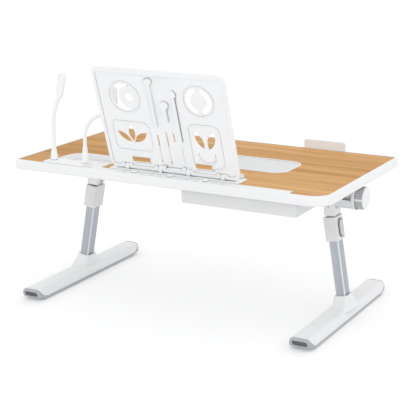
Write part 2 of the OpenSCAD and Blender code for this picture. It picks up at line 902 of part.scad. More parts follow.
// Ribs in front of the panel's foot, which stop it from leaning further
stop_y = stand_y + stand_t * cos(stand_lean) + seat;
stop_t = 3;
stop_h = stand_gap + strip_rise + stand_t * sin(stand_lean) + 2;

module stand_base() {
    plate_y0 = strip_d;
    placed() color(WHITE) difference() {
        union() {
            translate([stand_x - stand_w / 2, plate_y0, top_h]) linear_extrude(base_t)
                round_rect(stand_w, ledge_y1 - plate_y0, ledge_round);
            translate([stand_x - stand_w / 2 + lip_inset, ledge_y1 - lip_t, top_h])
                cube([stand_w - 2 * lip_inset, lip_t, lip_h]);
            for (x = lug_places) translate([stand_x + x, 0, 0]) {
                translate([0, hinge_y, hinge_z]) rod_x(-lug_w / 2, lug_w / 2, knuckle_r);
                translate([-lug_w / 2, hinge_y - knuckle_r, top_h])
                    cube([lug_w, 2 * knuckle_r, hinge_z - top_h]);
                translate([-lug_w * 1.5, stop_y, top_h]) cube([lug_w * 3, stop_t, stop_h]);
            }
            for (i = plug_slots) translate([stand_x + i * slot_pitch - slot_l / 2 + seat,
                                            slot_y - slot_w / 2 + seat, 0]) {
                translate([0, 0, top_h + strip_rise])
                    cube([slot_l - 2 * seat, plate_y0 + slot_w - slot_y, base_t]);
                translate([0, 0, top_h - slot_w + seat])
                    cube([slot_l - 2 * seat, slot_w - 2 * seat, slot_w + strip_rise]);
            }
            for (side = [-1, 1]) clip_place(side) {
                rod_y(-lip_t / 2, clip_t + 2 * seat, clip_pin_r);
                rod_y(clip_t + 2 * seat, clip_t + 2 * seat + 1, clip_pin_r + 1.2);
            }
        }
        translate([stand_x, hinge_y, hinge_z]) for (x = lug_places)
            rod_x(x - lug_w / 2 - past, x + lug_w / 2 + past, hinge_pin_r);
    }
}

module stand_hinge_pins() {
    placed() color(STEEL) translate([stand_x, hinge_y, hinge_z]) for (x = lug_places)
        rod_x(x - lug_w * 1.5, x + lug_w * 1.5, hinge_pin_r);
}

// ---- page clips ----

// A flat arm that stands up from its pin in front of the lip
module page_clip(side) {
    color(WHITE) clip_place(side) difference() {
        union() {
            upright(seat, seat + clip_t) {
                circle(clip_w / 2);
                translate([-clip_w / 2, 0]) square([clip_w, clip_l - clip_w]);
                translate([0, clip_l - clip_w]) circle(clip_w / 2);
            }
            // the rounded pad that presses on the pages
            translate([0, 0, clip_l - clip_w]) rod_y(seat - 2, seat, clip_w / 2 - 1);
        }
        rod_y(-past, seat + clip_t + past, clip_pin_r + turn_gap);
    }
}

module page_clip_left() { placed() page_clip(-1); }
module page_clip_right() { placed() page_clip(1); }

// ---- far edge stopper ----

// The two pegs, their tops at the height of the rim
module stopper_pegs(r, z0) {
    for (x = [-1, 1]) translate([stopper_x + x * stopper_w * 0.35, top_d - rim_w / 2, z0])
        cylinder(h = rim_top - z0 + past, r = r);
}

module stopper() {
    placed() color(WHITE) {
        translate([stopper_x - stopper_w / 2, top_d - rim_w / 2 - stopper_t / 2, rim_top])
            upright(0, stopper_t) {
                square([stopper_w, stopper_h / 2]);
                round_rect(stopper_w, stopper_h, 4);
            }
        stopper_pegs(peg_r, rim_top - peg_l);
    }
}

// ---- legs: the right-hand one is drawn, and the left-hand one mirrors it ----

leg_y = top_d / 2 + leg_shift;
tilt_z = under_z - tilt_drop;
fold_x = half_w - leg_inset;
fold_z = tilt_z - fold_drop;
fold_pin_r = 2.5;

upper_w = tube_w - 2 * tube_wall - 2 * slide_gap;
upper_d = tube_d - 2 * tube_wall - 2 * slide_gap;
tongue_r = 6.5;
tongue_d = 15;
head_x0 = fold_x - 8;
head_x1 = fold_x + 12.5;
head_web = 2.5;
head_half_d = tongue_d / 2 + 6;

// Along the leg, from the fold hinge down
collar_s = 19;
shoulder = collar_s - 0.2;
cheek_w = (collar_s - 0.5 - (head_x1 - fold_x) * sin(splay)) / cos(splay);
tube_s = collar_s + 4;
socket_s = (fold_z - socket_h) / cos(splay);
tube_end_s = socket_s + socket_sink;
upper_end_s = tube_end_s - 30;
collar_w = tube_w + 2 * collar_wall;
collar_d = tube_d + 2 * (collar_wall + collar_side);

module at_tilt() { translate([0, leg_y, tilt_z]) children(); }
module at_fold() { translate([fold_x, leg_y, fold_z]) children(); }
module along_leg() { at_fold() rotate([0, -splay, 0]) children(); }

// A length of the leg, from s0 to s1 below the hinge
module leg_bar(s0, s1) { translate([0, 0, -s1]) linear_extrude(s1 - s0) children(); }

module leg_head() {
    hub_disc_t = 3;
    color(SHELL_WHITE) difference() {
        union() {
            at_tilt() rod_x(head_x0, head_x1, head_half_d);
            at_fold() translate([head_x0 - fold_x, -head_half_d, -cheek_w])
                cube([head_x1 - head_x0, 2 * head_half_d, cheek_w + fold_drop]);
            at_tilt() rod_x(head_x1 - hub_disc_t, head_x1, knob_r);
        }
        // the fork that the upper leg folds in
        at_fold() translate([head_x0 - past - fold_x, -tongue_d / 2 - seat, -cheek_w - past])
            cube([head_x1 - head_x0 + past - head_web, tongue_d + 2 * seat, cheek_w + past + tongue_r + 1]);
        at_fold() rod_y(-head_half_d - past, head_half_d + past, fold_pin_r);
        at_tilt() rod_x(fold_x, head_x1 + past, shaft_r);
    }
}

module fold_pin() {
    color(STEEL) at_fold() rod_y(-head_half_d, head_half_d, fold_pin_r);
}

housing_x0 = head_x1 + seat;
housing_x1 = housing_x0 + housing_l;
cavity_x0 = housing_x0 + 7;
cavity_r = shaft_r + 6;
gear_w = 6;
gear_x0 = cavity_x0 + 3;
shaft_x1 = gear_x0 + gear_w;
ring_lap = 0.3;
ring_t = knob_gap + ring_lap;
ring_r = housing_r + 0.7;

module tilt_shaft() {
    color(STEEL) at_tilt() rod_x(fold_x, shaft_x1, shaft_r);
}

module lock_gear() {
    teeth = 16;
    color(STEEL) at_tilt() difference() {
        union() {
            rod_x(gear_x0, shaft_x1, cavity_r - 2);
            for (a = [0:teeth - 1]) rotate([a * 360 / teeth, 0, 0])
                translate([gear_x0, cavity_r - 3, -0.8]) cube([gear_w, 2.4, 1.6]);
        }
        rod_x(gear_x0 - past, shaft_x1 + past, shaft_r);
    }
}

mount_t = 3;
mount_half = 31;

// Screw places of the right-hand housing, at the panel's lower face
module housing_screw_places() {
    for (x = [housing_x0 + 4, housing_x1 - 4], y = [-1, 1])
        translate([x, leg_y + y * (mount_half - 5), under_z]) children();
}

module tilt_housing() {
    difference() {
        union() {
            at_tilt() rod_x(housing_x0, housing_x1, housing_r);
            at_tilt() rod_x(housing_x1, housing_x1 + ring_t, ring_r);
            translate([housing_x0, leg_y - head_half_d, tilt_z])
                cube([housing_l, 2 * head_half_d, under_z - tilt_z]);
            translate([housing_x0, leg_y, under_z - mount_t]) linear_extrude(mount_t)
                translate([0, -mount_half]) round_rect(housing_l, 2 * mount_half, 5);
        }
        at_tilt() rod_x(housing_x0 - past, cavity_x0 + past, shaft_r + turn_gap);
        at_tilt() rod_x(cavity_x0, housing_x1 + ring_t + past, cavity_r);
        at_tilt() rod_x(housing_x1, housing_x1 + ring_t + past, knob_r + 0.4);
        housing_screw_places() cylinder(h = 4 * mount_t, r = screw_r, center = true);
    }
}

module tilt_housings() {
    placed() color(SHELL_WHITE) {
        tilt_housing();
        left_side() tilt_housing();
    }
}

module housing_screw() {
    translate([0, 0, -mount_t - screw_head_h])
        screw(screw_head_r, screw_head_h, screw_r, mount_t + under_t);
}

module housing_screws() {
    placed() color(STEEL) {
        housing_screw_places() housing_screw();
        left_side() housing_screw_places() housing_screw();
    }
}

// The knob pushes in along its axis
knob_press = 4;
grip_x0 = housing_x1 + knob_gap;
disc_x0 = grip_x0 + grip_l;
grip_r = knob_r - 0.4;
face_r = knob_r - 1.2;
core_x0 = shaft_x1 + knob_press + 1;
core_r = cavity_r - 2.2;
fin_half = cavity_r - seat;
fin_t = 3.5;
disc_round = knob_t / 2;

// The knob's flat rib, which keys its core in the housing and shows on both sides of its grip
module knob_fin() {
    at_tilt() {
        translate([core_x0, -fin_half, -fin_t / 2]) cube([disc_x0 - core_x0, 2 * fin_half, fin_t]);
        translate([grip_x0, -knob_r, -fin_t / 2]) cube([grip_l, 2 * knob_r, fin_t]);
    }
}

module tilt_knob() {
    color(WHITE) {
        at_tilt() translate([disc_x0, 0, 0]) rotate([0, 90, 0]) rotate_extrude() {
            square([face_r - disc_round, knob_t]);
            square([face_r, knob_t - disc_round]);
            translate([face_r - disc_round, knob_t - disc_round]) circle(disc_round);
        }
        knob_fin();
    }
}

module knob_core() {
    color(GRIP_GREY) difference() {
        at_tilt() {
            rod_x(core_x0, disc_x0, core_r);
            rod_x(grip_x0, disc_x0, grip_r);
        }
        knob_fin();
    }
}

// The wave spring between the lock gear and the knob, drawn at its pressed height
module knob_spring() {
    color(STEEL) at_tilt() difference() {
        rod_x(shaft_x1, core_x0 - knob_press - seat, cavity_r - 3);
        rod_x(shaft_x1 - past, core_x0, shaft_r - 2);
    }
}

module upper_leg() {
    color(SHELL_WHITE) along_leg() difference() {
        union() {
            rod_y(-tongue_d / 2, tongue_d / 2, tongue_r);
            leg_bar(0, shoulder + past) translate([-tongue_r, -tongue_d / 2])
                square([2 * tongue_r, tongue_d]);
            leg_bar(shoulder, upper_end_s) round_rect_mid(upper_w, upper_d, 1.5);
        }
        rod_y(-tongue_d, tongue_d, fold_pin_r + turn_gap);
    }
}

button_s = collar_s + collar_l * 0.5;
button_w = 15;
button_l = 29;
button_press = 1.5;
button_t = 1.8;
button_crown = 0.6;
bezel_t = 1.4;
pocket_depth = 1;
stem_r = 2.2;
stem_gap = 0.3;
wall_x = collar_w / 2;

module at_button() { translate([0, 0, -button_s]) rotate([90, 0, 90]) children(); }

module collar() {
    corner = 3;
    color(SHADE_WHITE) along_leg() difference() {
        union() {
            leg_bar(collar_s, collar_s + collar_l) round_rect_mid(collar_w, collar_d, corner);
            at_button() linear_extrude(wall_x + bezel_t) oval(button_w + 4, button_l + 4);
        }
        leg_bar(collar_s - past, collar_s + collar_l + past)
            round_rect_mid(upper_w + 2 * slide_gap, upper_d + 2 * slide_gap, 1.5);
        leg_bar(tube_s, collar_s + collar_l + past) round_rect_mid(tube_w, tube_d, 2.5);
        at_button() translate([0, 0, wall_x - pocket_depth]) linear_extrude(bezel_t + pocket_depth + past)
            oval(button_w + 2 * seat, button_l + 2 * seat);
        at_button() cylinder(h = 2 * wall_x, r = stem_r + stem_gap);
    }
}

module leg_tube() {
    color(ALUMINIUM) along_leg() difference() {
        leg_bar(tube_s, tube_end_s) round_rect_mid(tube_w, tube_d, 2.5);
        leg_bar(tube_s - past, tube_end_s + past)
            round_rect_mid(tube_w - 2 * tube_wall, tube_d - 2 * tube_wall, 1.5);
        at_button() cylinder(h = 2 * wall_x, r = stem_r + stem_gap);
    }
}

module height_button() {
    back_x = wall_x - pocket_depth + button_press + seat;
    color(WHITE) along_leg() at_button() {
        translate([0, 0, back_x]) linear_extrude(button_t) oval(button_w, button_l);
        translate([0, 0, back_x + button_t]) linear_extrude(button_crown)
            oval(button_w - 1.6, button_l - 1.6);
        translate([0, 0, back_x - button_press]) cylinder(h = button_press + button_t, r = stem_r);
    }
}

// ---- feet ----

foot_x = fold_x + (fold_z - socket_h) * tan(splay);
foot_y0 = leg_y - foot_shift - foot_l / 2;
foot_y1 = foot_y0 + foot_l;
end_slope = 7;
end_corner = 5;
end_rise = 5;
end_run = 22;
cap_t = 4;

// Side view of a foot: flat below, turned up and raked at its ends
module foot_profile() {
    polygon([
        [foot_y0 + end_slope + end_run, 0], [foot_y1 - end_slope - end_run, 0],
        [foot_y1 - end_slope - end_run / 2, end_rise * 0.22], [foot_y1 - end_slope, end_rise],
        [foot_y1, foot_h], [foot_y0, foot_h],
        [foot_y0 + end_slope, end_rise], [foot_y0 + end_slope + end_run / 2, end_rise * 0.22]
    ]);
}

// Section of a foot across its length: an upright band and a crowned shell
module foot_section() {
    h = foot_w / 2;
    t = foot_top_w / 2;
    polygon([[-h + 1, 0], [h - 1, 0], [h, 1], [h, sole_h], [h - 2, foot_h - 7], [t + 3, foot_h - 1.4],
             [t, foot_h], [-t, foot_h], [-t - 3, foot_h - 1.4], [-h + 2, foot_h - 7],
             [-h, sole_h], [-h, 1]]);
}

module foot_block() {
    intersection() {
        sideways(foot_x - foot_w, foot_x + foot_w) foot_profile();
        translate([foot_x, 0, 0]) upright(foot_y0 - past, foot_y1 + past) foot_section();
        translate([foot_x - foot_w / 2, foot_y0 - past, -past]) linear_extrude(foot_h + 2 * past)
            round_rect(foot_w, foot_l + 2 * past, end_corner);
    }
}

// What the shell fills: above the sole band and between the end caps
module shell_space() {
    sideways(foot_x - foot_w, foot_x + foot_w) polygon([
        [foot_y0 + cap_t + end_slope * (1 - sole_h / foot_h), sole_h],
        [foot_y1 - cap_t - end_slope * (1 - sole_h / foot_h), sole_h],
        [foot_y1 - cap_t + 1, foot_h + past], [foot_y0 + cap_t - 1, foot_h + past]
    ]);
}

// Side view of the socket: a boss with hollow flares along the foot
module socket_profile() {
    top_half = tube_d / 2 + socket_wall;
    rise = socket_h - foot_h + 4;
    flare = 26;
    difference() {
        translate([-top_half - flare, 0]) square([2 * (top_half + flare), rise]);
        for (s = [-1, 1]) translate([s * (top_half + flare), flare + 4]) circle(flare);
        for (s = [-1, 1]) translate([s * (top_half + flare) - (s > 0 ? flare : 0), flare + 4])
            square([flare, rise]);
    }
}

module foot_socket() {
    w = tube_w + 3 * socket_wall;
    rise = socket_h - foot_h + 4;
    along_leg() translate([0, 0, -socket_s]) sideways(-w / 2, w / 2)
        translate([0, -rise]) socket_profile();
}

module foot_shell() {
    color(SHELL_WHITE) difference() {
        union() {
            intersection() {
                foot_block();
                shell_space();
            }
            foot_socket();
        }
        along_leg() leg_bar(socket_s - 2 * past, tube_end_s) round_rect_mid(tube_w, tube_d, 2.5);
    }
}

insert_w = foot_w - 14;
insert_h = 9;
insert_t = 1.6;

// A plate let into each raked end face of the sole
module foot_insert_bar() {
    translate([foot_x - insert_w / 2, foot_y0 - past, end_rise + 3])
        cube([insert_w, foot_l + 2 * past, insert_h]);
}

module insert_depth() {
    // the shell of the foot's ends, insert_t deep
    difference() {
        sideways(foot_x - foot_w, foot_x + foot_w) foot_profile();
        sideways(foot_x - foot_w - past, foot_x + foot_w + past) polygon([
            [foot_y0 + insert_t + end_slope, 0], [foot_y1 - insert_t - end_slope, 0],
            [foot_y1 - insert_t - end_slope, end_rise], [foot_y1 - insert_t, foot_h + past],
            [foot_y0 + insert_t, foot_h + past], [foot_y0 + insert_t + end_slope, end_rise]
        ]);
    }
}

module foot_inserts() {
    color(INSERT_GREY) intersection() {
        foot_insert_bar();
        insert_depth();
    }
}

module foot_sole() {
    color(SOLE_GREY) difference() {
        foot_block();
        shell_space();
        intersection() {
            foot_insert_bar();
            insert_depth();
        }
    }
}

module left_leg_head() { placed() left_side() leg_head(); }
module left_fold_pin() { placed() left_side() fold_pin(); }
module left_tilt_shaft() { placed() left_side() tilt_shaft(); }
module left_lock_gear() { placed() left_side() lock_gear(); }
module left_upper_leg() { placed() left_side() upper_leg(); }
module left_collar() { placed() left_side() collar(); }
module left_leg_tube() { placed() left_side() leg_tube(); }
module left_foot_shell() { placed() left_side() foot_shell(); }
module left_foot_sole() { placed() left_side() foot_sole(); }
module left_foot_inserts() { placed() left_side() foot_inserts(); }
module left_height_button() { placed() left_side() height_button(); }
module left_tilt_knob() { placed() left_side() tilt_knob(); }
module left_knob_core() { placed() left_side() knob_core(); }
module left_knob_spring() { placed() left_side() knob_spring(); }
module right_leg_head() { placed() leg_head(); }
module right_fold_pin() { placed() fold_pin(); }
module right_tilt_shaft() { placed() tilt_shaft(); }
module right_lock_gear() { placed() lock_gear(); }
module right_upper_leg() { placed() upper_leg(); }
module right_collar() { placed() collar(); }
module right_leg_tube() { placed() leg_tube(); }
module right_foot_shell() { placed() foot_shell(); }
module right_foot_sole() { placed() foot_sole(); }
module right_foot_inserts() { placed() foot_inserts(); }
module right_height_button() { placed() height_button(); }
module right_tilt_knob() { placed() tilt_knob(); }
module right_knob_core() { placed() knob_core(); }
module right_knob_spring() { placed() knob_spring(); }

wood_top();
edge_rim();
underside_panel();
accessory_strip();
storage_tray();
pad_frame();
desk_pad();
hub_case();
hub_ports();
drawer_rails();
rail_screws();
tilt_housings();
housing_screws();
stand_base();
stand_hinge_pins();
stand_panel();
page_clip_left();
page_clip_right();
lamp_plug();
lamp_base();
lamp_neck();
lamp_head();
lamp_lens();
fan_plug();
fan_base();
fan_neck();
fan_motor();
fan_blades();
stopper();
drawer_box();
left_leg_head();
left_fold_pin();
left_tilt_shaft();
left_lock_gear();
left_upper_leg();
left_collar();
left_leg_tube();
left_foot_shell();
left_foot_sole();
left_foot_inserts();
left_height_button();
left_tilt_knob();
left_knob_core();
left_knob_spring();
right_leg_head();
right_fold_pin();
right_tilt_shaft();
right_lock_gear();
right_upper_leg();
right_collar();
right_leg_tube();
right_foot_shell();
right_foot_sole();
right_foot_inserts();
right_height_button();
right_tilt_knob();
right_knob_core();
right_knob_spring();
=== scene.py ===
import json
import math

import bmesh
import bpy
from mathutils import Matrix, Vector


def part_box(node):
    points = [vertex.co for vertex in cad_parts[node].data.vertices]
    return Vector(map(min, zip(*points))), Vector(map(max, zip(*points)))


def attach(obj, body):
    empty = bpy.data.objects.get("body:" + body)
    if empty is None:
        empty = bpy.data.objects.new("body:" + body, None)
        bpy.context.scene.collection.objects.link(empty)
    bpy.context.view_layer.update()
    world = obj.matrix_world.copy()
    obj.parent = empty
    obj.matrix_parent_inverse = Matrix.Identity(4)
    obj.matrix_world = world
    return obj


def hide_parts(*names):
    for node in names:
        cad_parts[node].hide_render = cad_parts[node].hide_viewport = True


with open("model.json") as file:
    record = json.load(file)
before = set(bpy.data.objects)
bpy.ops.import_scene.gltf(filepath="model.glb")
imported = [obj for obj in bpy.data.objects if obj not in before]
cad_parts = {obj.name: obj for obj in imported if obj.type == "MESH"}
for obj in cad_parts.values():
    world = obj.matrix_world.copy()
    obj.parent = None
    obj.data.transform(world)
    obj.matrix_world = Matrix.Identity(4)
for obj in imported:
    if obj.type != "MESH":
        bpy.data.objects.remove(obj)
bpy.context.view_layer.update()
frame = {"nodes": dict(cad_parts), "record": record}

MM = 0.001
BODY_OF = {node: body for body, nodes in frame["record"]["behaviour"]["bodies"].items()
           for node in nodes}
SLOT_OF = {part["node"]: part["material_slot"] for part in frame["record"]["subparts"]}
SIDES = (("left", -1), ("right", 1))  # a side's name and its sign along x

# ---- camera, placed as in the photo ----

EYE = Vector((1.01465, -1.905818, 0.739))  # metres
TURN, DIP, ROLL = 0.485227507, 0.25840818, 0.00218270  # radians
PHOTO_W, FOCAL = 416, 1244.36  # both in the photo's pixels
FILM_W = 36  # millimetres
SIGHT = 30  # metres


def place_camera():
    level = Vector((math.cos(TURN), math.sin(TURN), 0))
    ahead = Vector((-math.sin(TURN) * math.cos(DIP), math.cos(TURN) * math.cos(DIP),
                    -math.sin(DIP)))
    above = level.cross(ahead)
    right = math.cos(ROLL) * level + math.sin(ROLL) * above
    up = -math.sin(ROLL) * level + math.cos(ROLL) * above
    lens = bpy.data.cameras.new("camera")
    lens.sensor_width = FILM_W
    lens.lens = FOCAL * FILM_W / PHOTO_W
    lens.clip_end = SIGHT
    camera = bpy.data.objects.new("camera", lens)
    camera.matrix_world = Matrix((
        (right.x, up.x, -ahead.x, EYE.x),
        (right.y, up.y, -ahead.y, EYE.y),
        (right.z, up.z, -ahead.z, EYE.z),
        (0, 0, 0, 1),
    ))
    bpy.context.scene.collection.objects.link(camera)
    bpy.context.scene.camera = camera


place_camera()

# ---- finishes ----


class Wire:
    """A shader socket that can be added, subtracted and multiplied."""

    def __init__(self, finish, socket):
        self.finish, self.socket = finish, socket

    def __add__(self, other):
        return self.finish.maths("ADD", self, other)

    def __radd__(self, other):
        return self.finish.maths("ADD", other, self)

    def __sub__(self, other):
        return self.finish.maths("SUBTRACT", self, other)

    def __rsub__(self, other):
        return self.finish.maths("SUBTRACT", other, self)

    def __mul__(self, other):
        return self.finish.maths("MULTIPLY", self, other)

    def __rmul__(self, other):
        return self.finish.maths("MULTIPLY", other, self)


class Finish:
    """One material of the desk, or the studio's world, built up node by node."""

    def __init__(self, name, shelf=bpy.data.materials):
        self.made = shelf.new(name)
        self.made.use_nodes = True
        self.tree = self.made.node_tree
        self.tree.nodes.clear()

    def add(self, kind, settings=None, values=None, out=0):
        """Adds a node: its settings first, then its sockets' values or wires; gives one output."""
        node = self.tree.nodes.new(kind)
        for key, value in (settings or {}).items():
            if key == "stops":
                ramp = node.color_ramp.elements
                while len(ramp) < len(value):
                    ramp.new(0.5)
                for stop, (place, colour) in zip(ramp, value):
                    stop.position = place
                    stop.color = (*colour, 1)
            else:
                setattr(node, key, value)
        for key, value in (values or {}).items():
            socket = node.inputs[key]
            if isinstance(value, Wire):
                self.tree.links.new(value.socket, socket)
            elif socket.type == "RGBA" and len(value) == 3:
                socket.default_value = (*value, 1)
            else:
                socket.default_value = value
        return Wire(self, node.outputs[out]) if node.outputs else None

    def maths(self, operation, *values):
        return self.add("ShaderNodeMath", {"operation": operation}, dict(enumerate(values)))

    def place(self):
        """Where on the desk a point is, in metres."""
        return self.add("ShaderNodeTexCoord", out=3)

    def vector(self, operation, *values, out=0):
        return self.add("ShaderNodeVectorMath", {"operation": operation},
                        dict(enumerate(values)), out)

    def dot(self, a, b):
        return self.vector("DOT_PRODUCT", a, b, out=1)

    def noise(self, place, scale, detail=2.0, rough=0.5):
        """Soft blotches, about as many to a metre as the scale says."""
        return self.add("ShaderNodeTexNoise", None,
                        {"Vector": place, "Scale": scale, "Detail": detail, "Roughness": rough})

    def spread(self, value, low, high, to_low=0.0, to_high=1.0):
        """A smooth step: to_low up to the low value, to_high from the high one on."""
        return self.add("ShaderNodeMapRange", {"interpolation_type": "SMOOTHSTEP"},
                        {0: value, 1: low, 2: high, 3: to_low, 4: to_high})

    def tint(self, mask, colour_a, colour_b):
        """The first colour where the mask is 0, the second where it is 1."""
        return self.add("ShaderNodeMix", {"data_type": "RGBA"},
                        {0: mask, 6: colour_a, 7: colour_b}, out=2)

    def bump(self, height, depth):
        return self.add("ShaderNodeBump", None,
                        {"Height": height, "Distance": depth, "Strength": 1.0})

    def facing(self):
        """The way the true surface faces."""
        return self.add("ShaderNodeNewGeometry", out=1)

    def creases(self, reach):
        """1 in the open, less in corners and creases, where the finishes paint shade."""
        return self.add("ShaderNodeAmbientOcclusion", {"samples": 8}, {"Distance": reach},
                        out=1)

    def worn_edges(self, radius):
        """1 on edges that hands rub, 0 on flat faces."""
        soft = self.add("ShaderNodeBevel", {"samples": 4}, {"Radius": radius})
        return self.spread(1 - self.dot(soft, self.facing()), 0.02, 0.16)

    def skin(self, values):
        """The surface itself, with its fixed values set on its own sockets."""
        surface = self.add("ShaderNodeBsdfPrincipled", None, values)
        self.add("ShaderNodeOutputMaterial", None, {"Surface": surface})
        return self.made


def shade(colour, by):
    return tuple(min(1.0, c * by) for c in colour)


def moulded(name, colour, rough=0.42, grain=0.00003, coat=0.0, painted_corner_shade=0.35, reach=0.004):
    """Injection moulded plastic with a spark-eroded grain, faint flow marks and painted shade in its
    corners and creases.

    The grain's depth and the corners' reach are in metres, and the argument after coat says how dark
    the painted corner shade gets."""
    f = Finish(name)
    place = f.place()
    flow = f.noise(place, 14, 3.0)
    cloud = f.noise(place, 55, 4.0)
    spark = f.noise(place, 2400, 2.0, 0.6)
    toned = f.tint(f.spread(flow, 0.35, 0.65), shade(colour, 0.985), colour)
    # painted shade: the colour darkens towards a shaded copy of itself where corners and creases are
    # occluded
    corner = f.spread(1 - f.creases(reach), 0.10, 0.62)
    with_painted_shade = f.tint(corner * painted_corner_shade, toned, shade(colour, 0.42))
    sheen = rough - 0.05 + 0.07 * cloud + 0.05 * (spark - 0.5)
    return f.skin({"Base Color": with_painted_shade, "Roughness": sheen, "Normal": f.bump(spark, grain),
                   "IOR": 1.49, "Specular IOR Level": 0.45,
                   "Coat Weight": coat, "Coat Roughness": 0.25})


def oak_board(name):
    """Light oak foil on board: long grain along the desk, broad darker streaks, fine pores."""
    f = Finish(name)
    place = f.place()
    sway = f.noise(f.vector("MULTIPLY", place, (2.2, 7.0, 1.0)), 1.0, 2.0)
    drift = f.add("ShaderNodeCombineXYZ", None, {0: 0.0, 1: (sway - 0.5) * 0.05, 2: 0.0})
    bent = f.vector("ADD", place, drift)
    streak = f.noise(f.vector("MULTIPLY", bent, (1.7, 34.0, 1.0)), 1.0, 3.0, 0.55)
    year = f.noise(f.vector("MULTIPLY", bent, (3.0, 150.0, 1.0)), 1.0, 3.0, 0.6)
    fibre = f.noise(f.vector("MULTIPLY", bent, (22.0, 900.0, 40.0)), 1.0, 2.0, 0.6)
    pore = f.noise(f.vector("MULTIPLY", bent, (90.0, 2300.0, 90.0)), 1.0, 1.0)
    broad = f.noise(f.vector("MULTIPLY", place, (1.4, 5.0, 1.0)), 1.0, 1.0)
    base = f.add("ShaderNodeValToRGB", {"stops": (
        (0.30, (0.430, 0.195, 0.056)), (0.42, (0.550, 0.283, 0.094)),
        (0.50, (0.650, 0.358, 0.134)), (0.66, (0.790, 0.475, 0.206)))},
        {0: 0.58 * streak + 0.25 * year + 0.17 * broad})
    lined = f.tint(f.spread(year, 0.52, 0.64) * 0.42, base, (0.440, 0.205, 0.062))
    combed = f.tint(f.spread(fibre, 0.50, 0.70) * 0.20, lined, (0.48, 0.245, 0.078))
    pitted = f.spread(pore, 0.60, 0.68)
    flecked = f.tint(pitted * 0.28, combed, (0.32, 0.150, 0.045))
    height = 0.6 * fibre + 0.25 * year - 0.9 * pitted
    return f.skin({"Base Color": flecked, "Roughness": 0.50 + 0.14 * fibre + 0.10 * pitted,
                   "Normal": f.bump(height, 0.00005), "IOR": 1.45, "Specular IOR Level": 0.10})


def drawn_aluminium(name, colour, along):
    """Anodised extrusion with a painted highlight along its corners, its die lines running along the
    given direction.
    """
    f = Finish(name)
    place = f.place()
    run = f.dot(place, along)
    stretch = f.add("ShaderNodeCombineXYZ", None, {0: run, 1: run, 2: run})
    squeezed = f.vector("MULTIPLY", stretch, tuple(-0.985 * c for c in along))
    across = f.vector("ADD", place, squeezed)
    lines = f.noise(across, 2600, 2.0, 0.6)
    bands = f.noise(across, 210, 2.0)
    cloud = f.noise(place, 24, 3.0)
    toned = f.tint(f.spread(bands, 0.35, 0.65), shade(colour, 0.95), shade(colour, 1.03))
    facing = f.facing()
    # painted highlight: where the surface faces between x and y, at the extrusion's corners, the
    # colour is made much lighter
    corner = f.dot(facing, (1.0, 0.0, 0.0)) * f.dot(facing, (0.0, 1.0, 0.0))
    painted_corner_highlight = f.tint(f.spread(corner * corner, 0.03, 0.20) * 0.9, toned, shade(colour, 1.80))
    return f.skin({"Base Color": painted_corner_highlight, "Metallic": 0.86,
                   "Roughness": 0.30 + 0.10 * lines + 0.06 * cloud,
                   "Normal": f.bump(lines, 0.000012), "IOR": 1.5})


def plated_steel(name, colour=(0.56, 0.57, 0.59)):
    """Turned and plated steel with fine tool marks."""
    f = Finish(name)
    place = f.place()
    marks = f.noise(f.vector("MULTIPLY", place, (3.0, 1.0, 1.0)), 1500, 2.0)
    spots = f.noise(place, 190, 4.0)
    toned = f.tint(f.spread(spots, 0.4, 0.75), colour, shade(colour, 0.82))
    return f.skin({"Base Color": toned, "Metallic": 1.0, "Roughness": 0.26 + 0.16 * spots,
                   "Normal": f.bump(marks, 0.00001)})


def soft_sheet(name, colour, rough=0.62):
    """A calendered sheet with a cross-hatched grain, its lines about 2 mm apart."""
    f = Finish(name)
    place = f.place()
    weave = {"Vector": place, "Scale": 143.2437, "Distortion": 0.6, "Detail": 1.0}
    warp, weft = (f.add("ShaderNodeTexWave", {"bands_direction": way}, weave, out=1)
                  for way in "XY")
    hatch = f.maths("MAXIMUM", warp, weft)
    cloud = f.noise(place, 20, 4.0)
    toned = f.tint(f.spread(cloud, 0.3, 0.7), shade(colour, 0.965), colour)
    grained = f.tint((1 - hatch) * 0.10, toned, shade(colour, 0.8))
    return f.skin({"Base Color": grained, "Roughness": rough - 0.05 + 0.1 * cloud,
                   "Normal": f.bump(hatch, 0.00004), "IOR": 1.45, "Specular IOR Level": 0.35})


def soft_rubber(name, colour, rough=0.6, speck=0.04):
    """Rubbery plastic of the soles: matt, faintly mottled, scuffed along its edges."""
    f = Finish(name)
    place = f.place()
    mottle = f.noise(place, 130, 5.0, 0.6)
    grain = f.noise(place, 1700, 2.0)
    toned = f.tint(f.spread(mottle, 0.35, 0.7), shade(colour, 1 - speck), shade(colour, 1 + speck))
    scuffed = f.tint(f.worn_edges(0.0008) * 0.22, toned, shade(colour, 1.35))
    return f.skin({"Base Color": scuffed, "Roughness": rough + 0.14 * (mottle - 0.5),
                   "Normal": f.bump(grain, 0.00004), "IOR": 1.46, "Specular IOR Level": 0.4})


RIBS = 44.0  # round the knob's grip


def ribbed_grip(name, colour):
    """Grey plastic of the knob's grip, with fine ribs along its axis and painted shade in their
    grooves.
    """
    f = Finish(name)
    place = f.place()
    facing = f.facing()
    up, forward = f.dot(facing, (0.0, 0.0, 1.0)), f.dot(facing, (0.0, 1.0, 0.0))
    round_axis = f.maths("ARCTAN2", up, forward)
    rib = f.maths("SINE", round_axis * RIBS)
    mottle = f.noise(place, 160, 4.0)
    toned = f.tint(f.spread(mottle, 0.35, 0.7), shade(colour, 0.95), shade(colour, 1.06))
    # painted shade: the colour darkens in the grooves between the ribs
    groove_shaded = f.tint(f.spread(rib, -0.9, 0.1, 0.55, 0.0), toned, shade(colour, 0.45))
    return f.skin({"Base Color": groove_shaded, "Roughness": 0.48 + 0.12 * (mottle - 0.5),
                   "Normal": f.bump(rib, 0.00025), "IOR": 1.47})


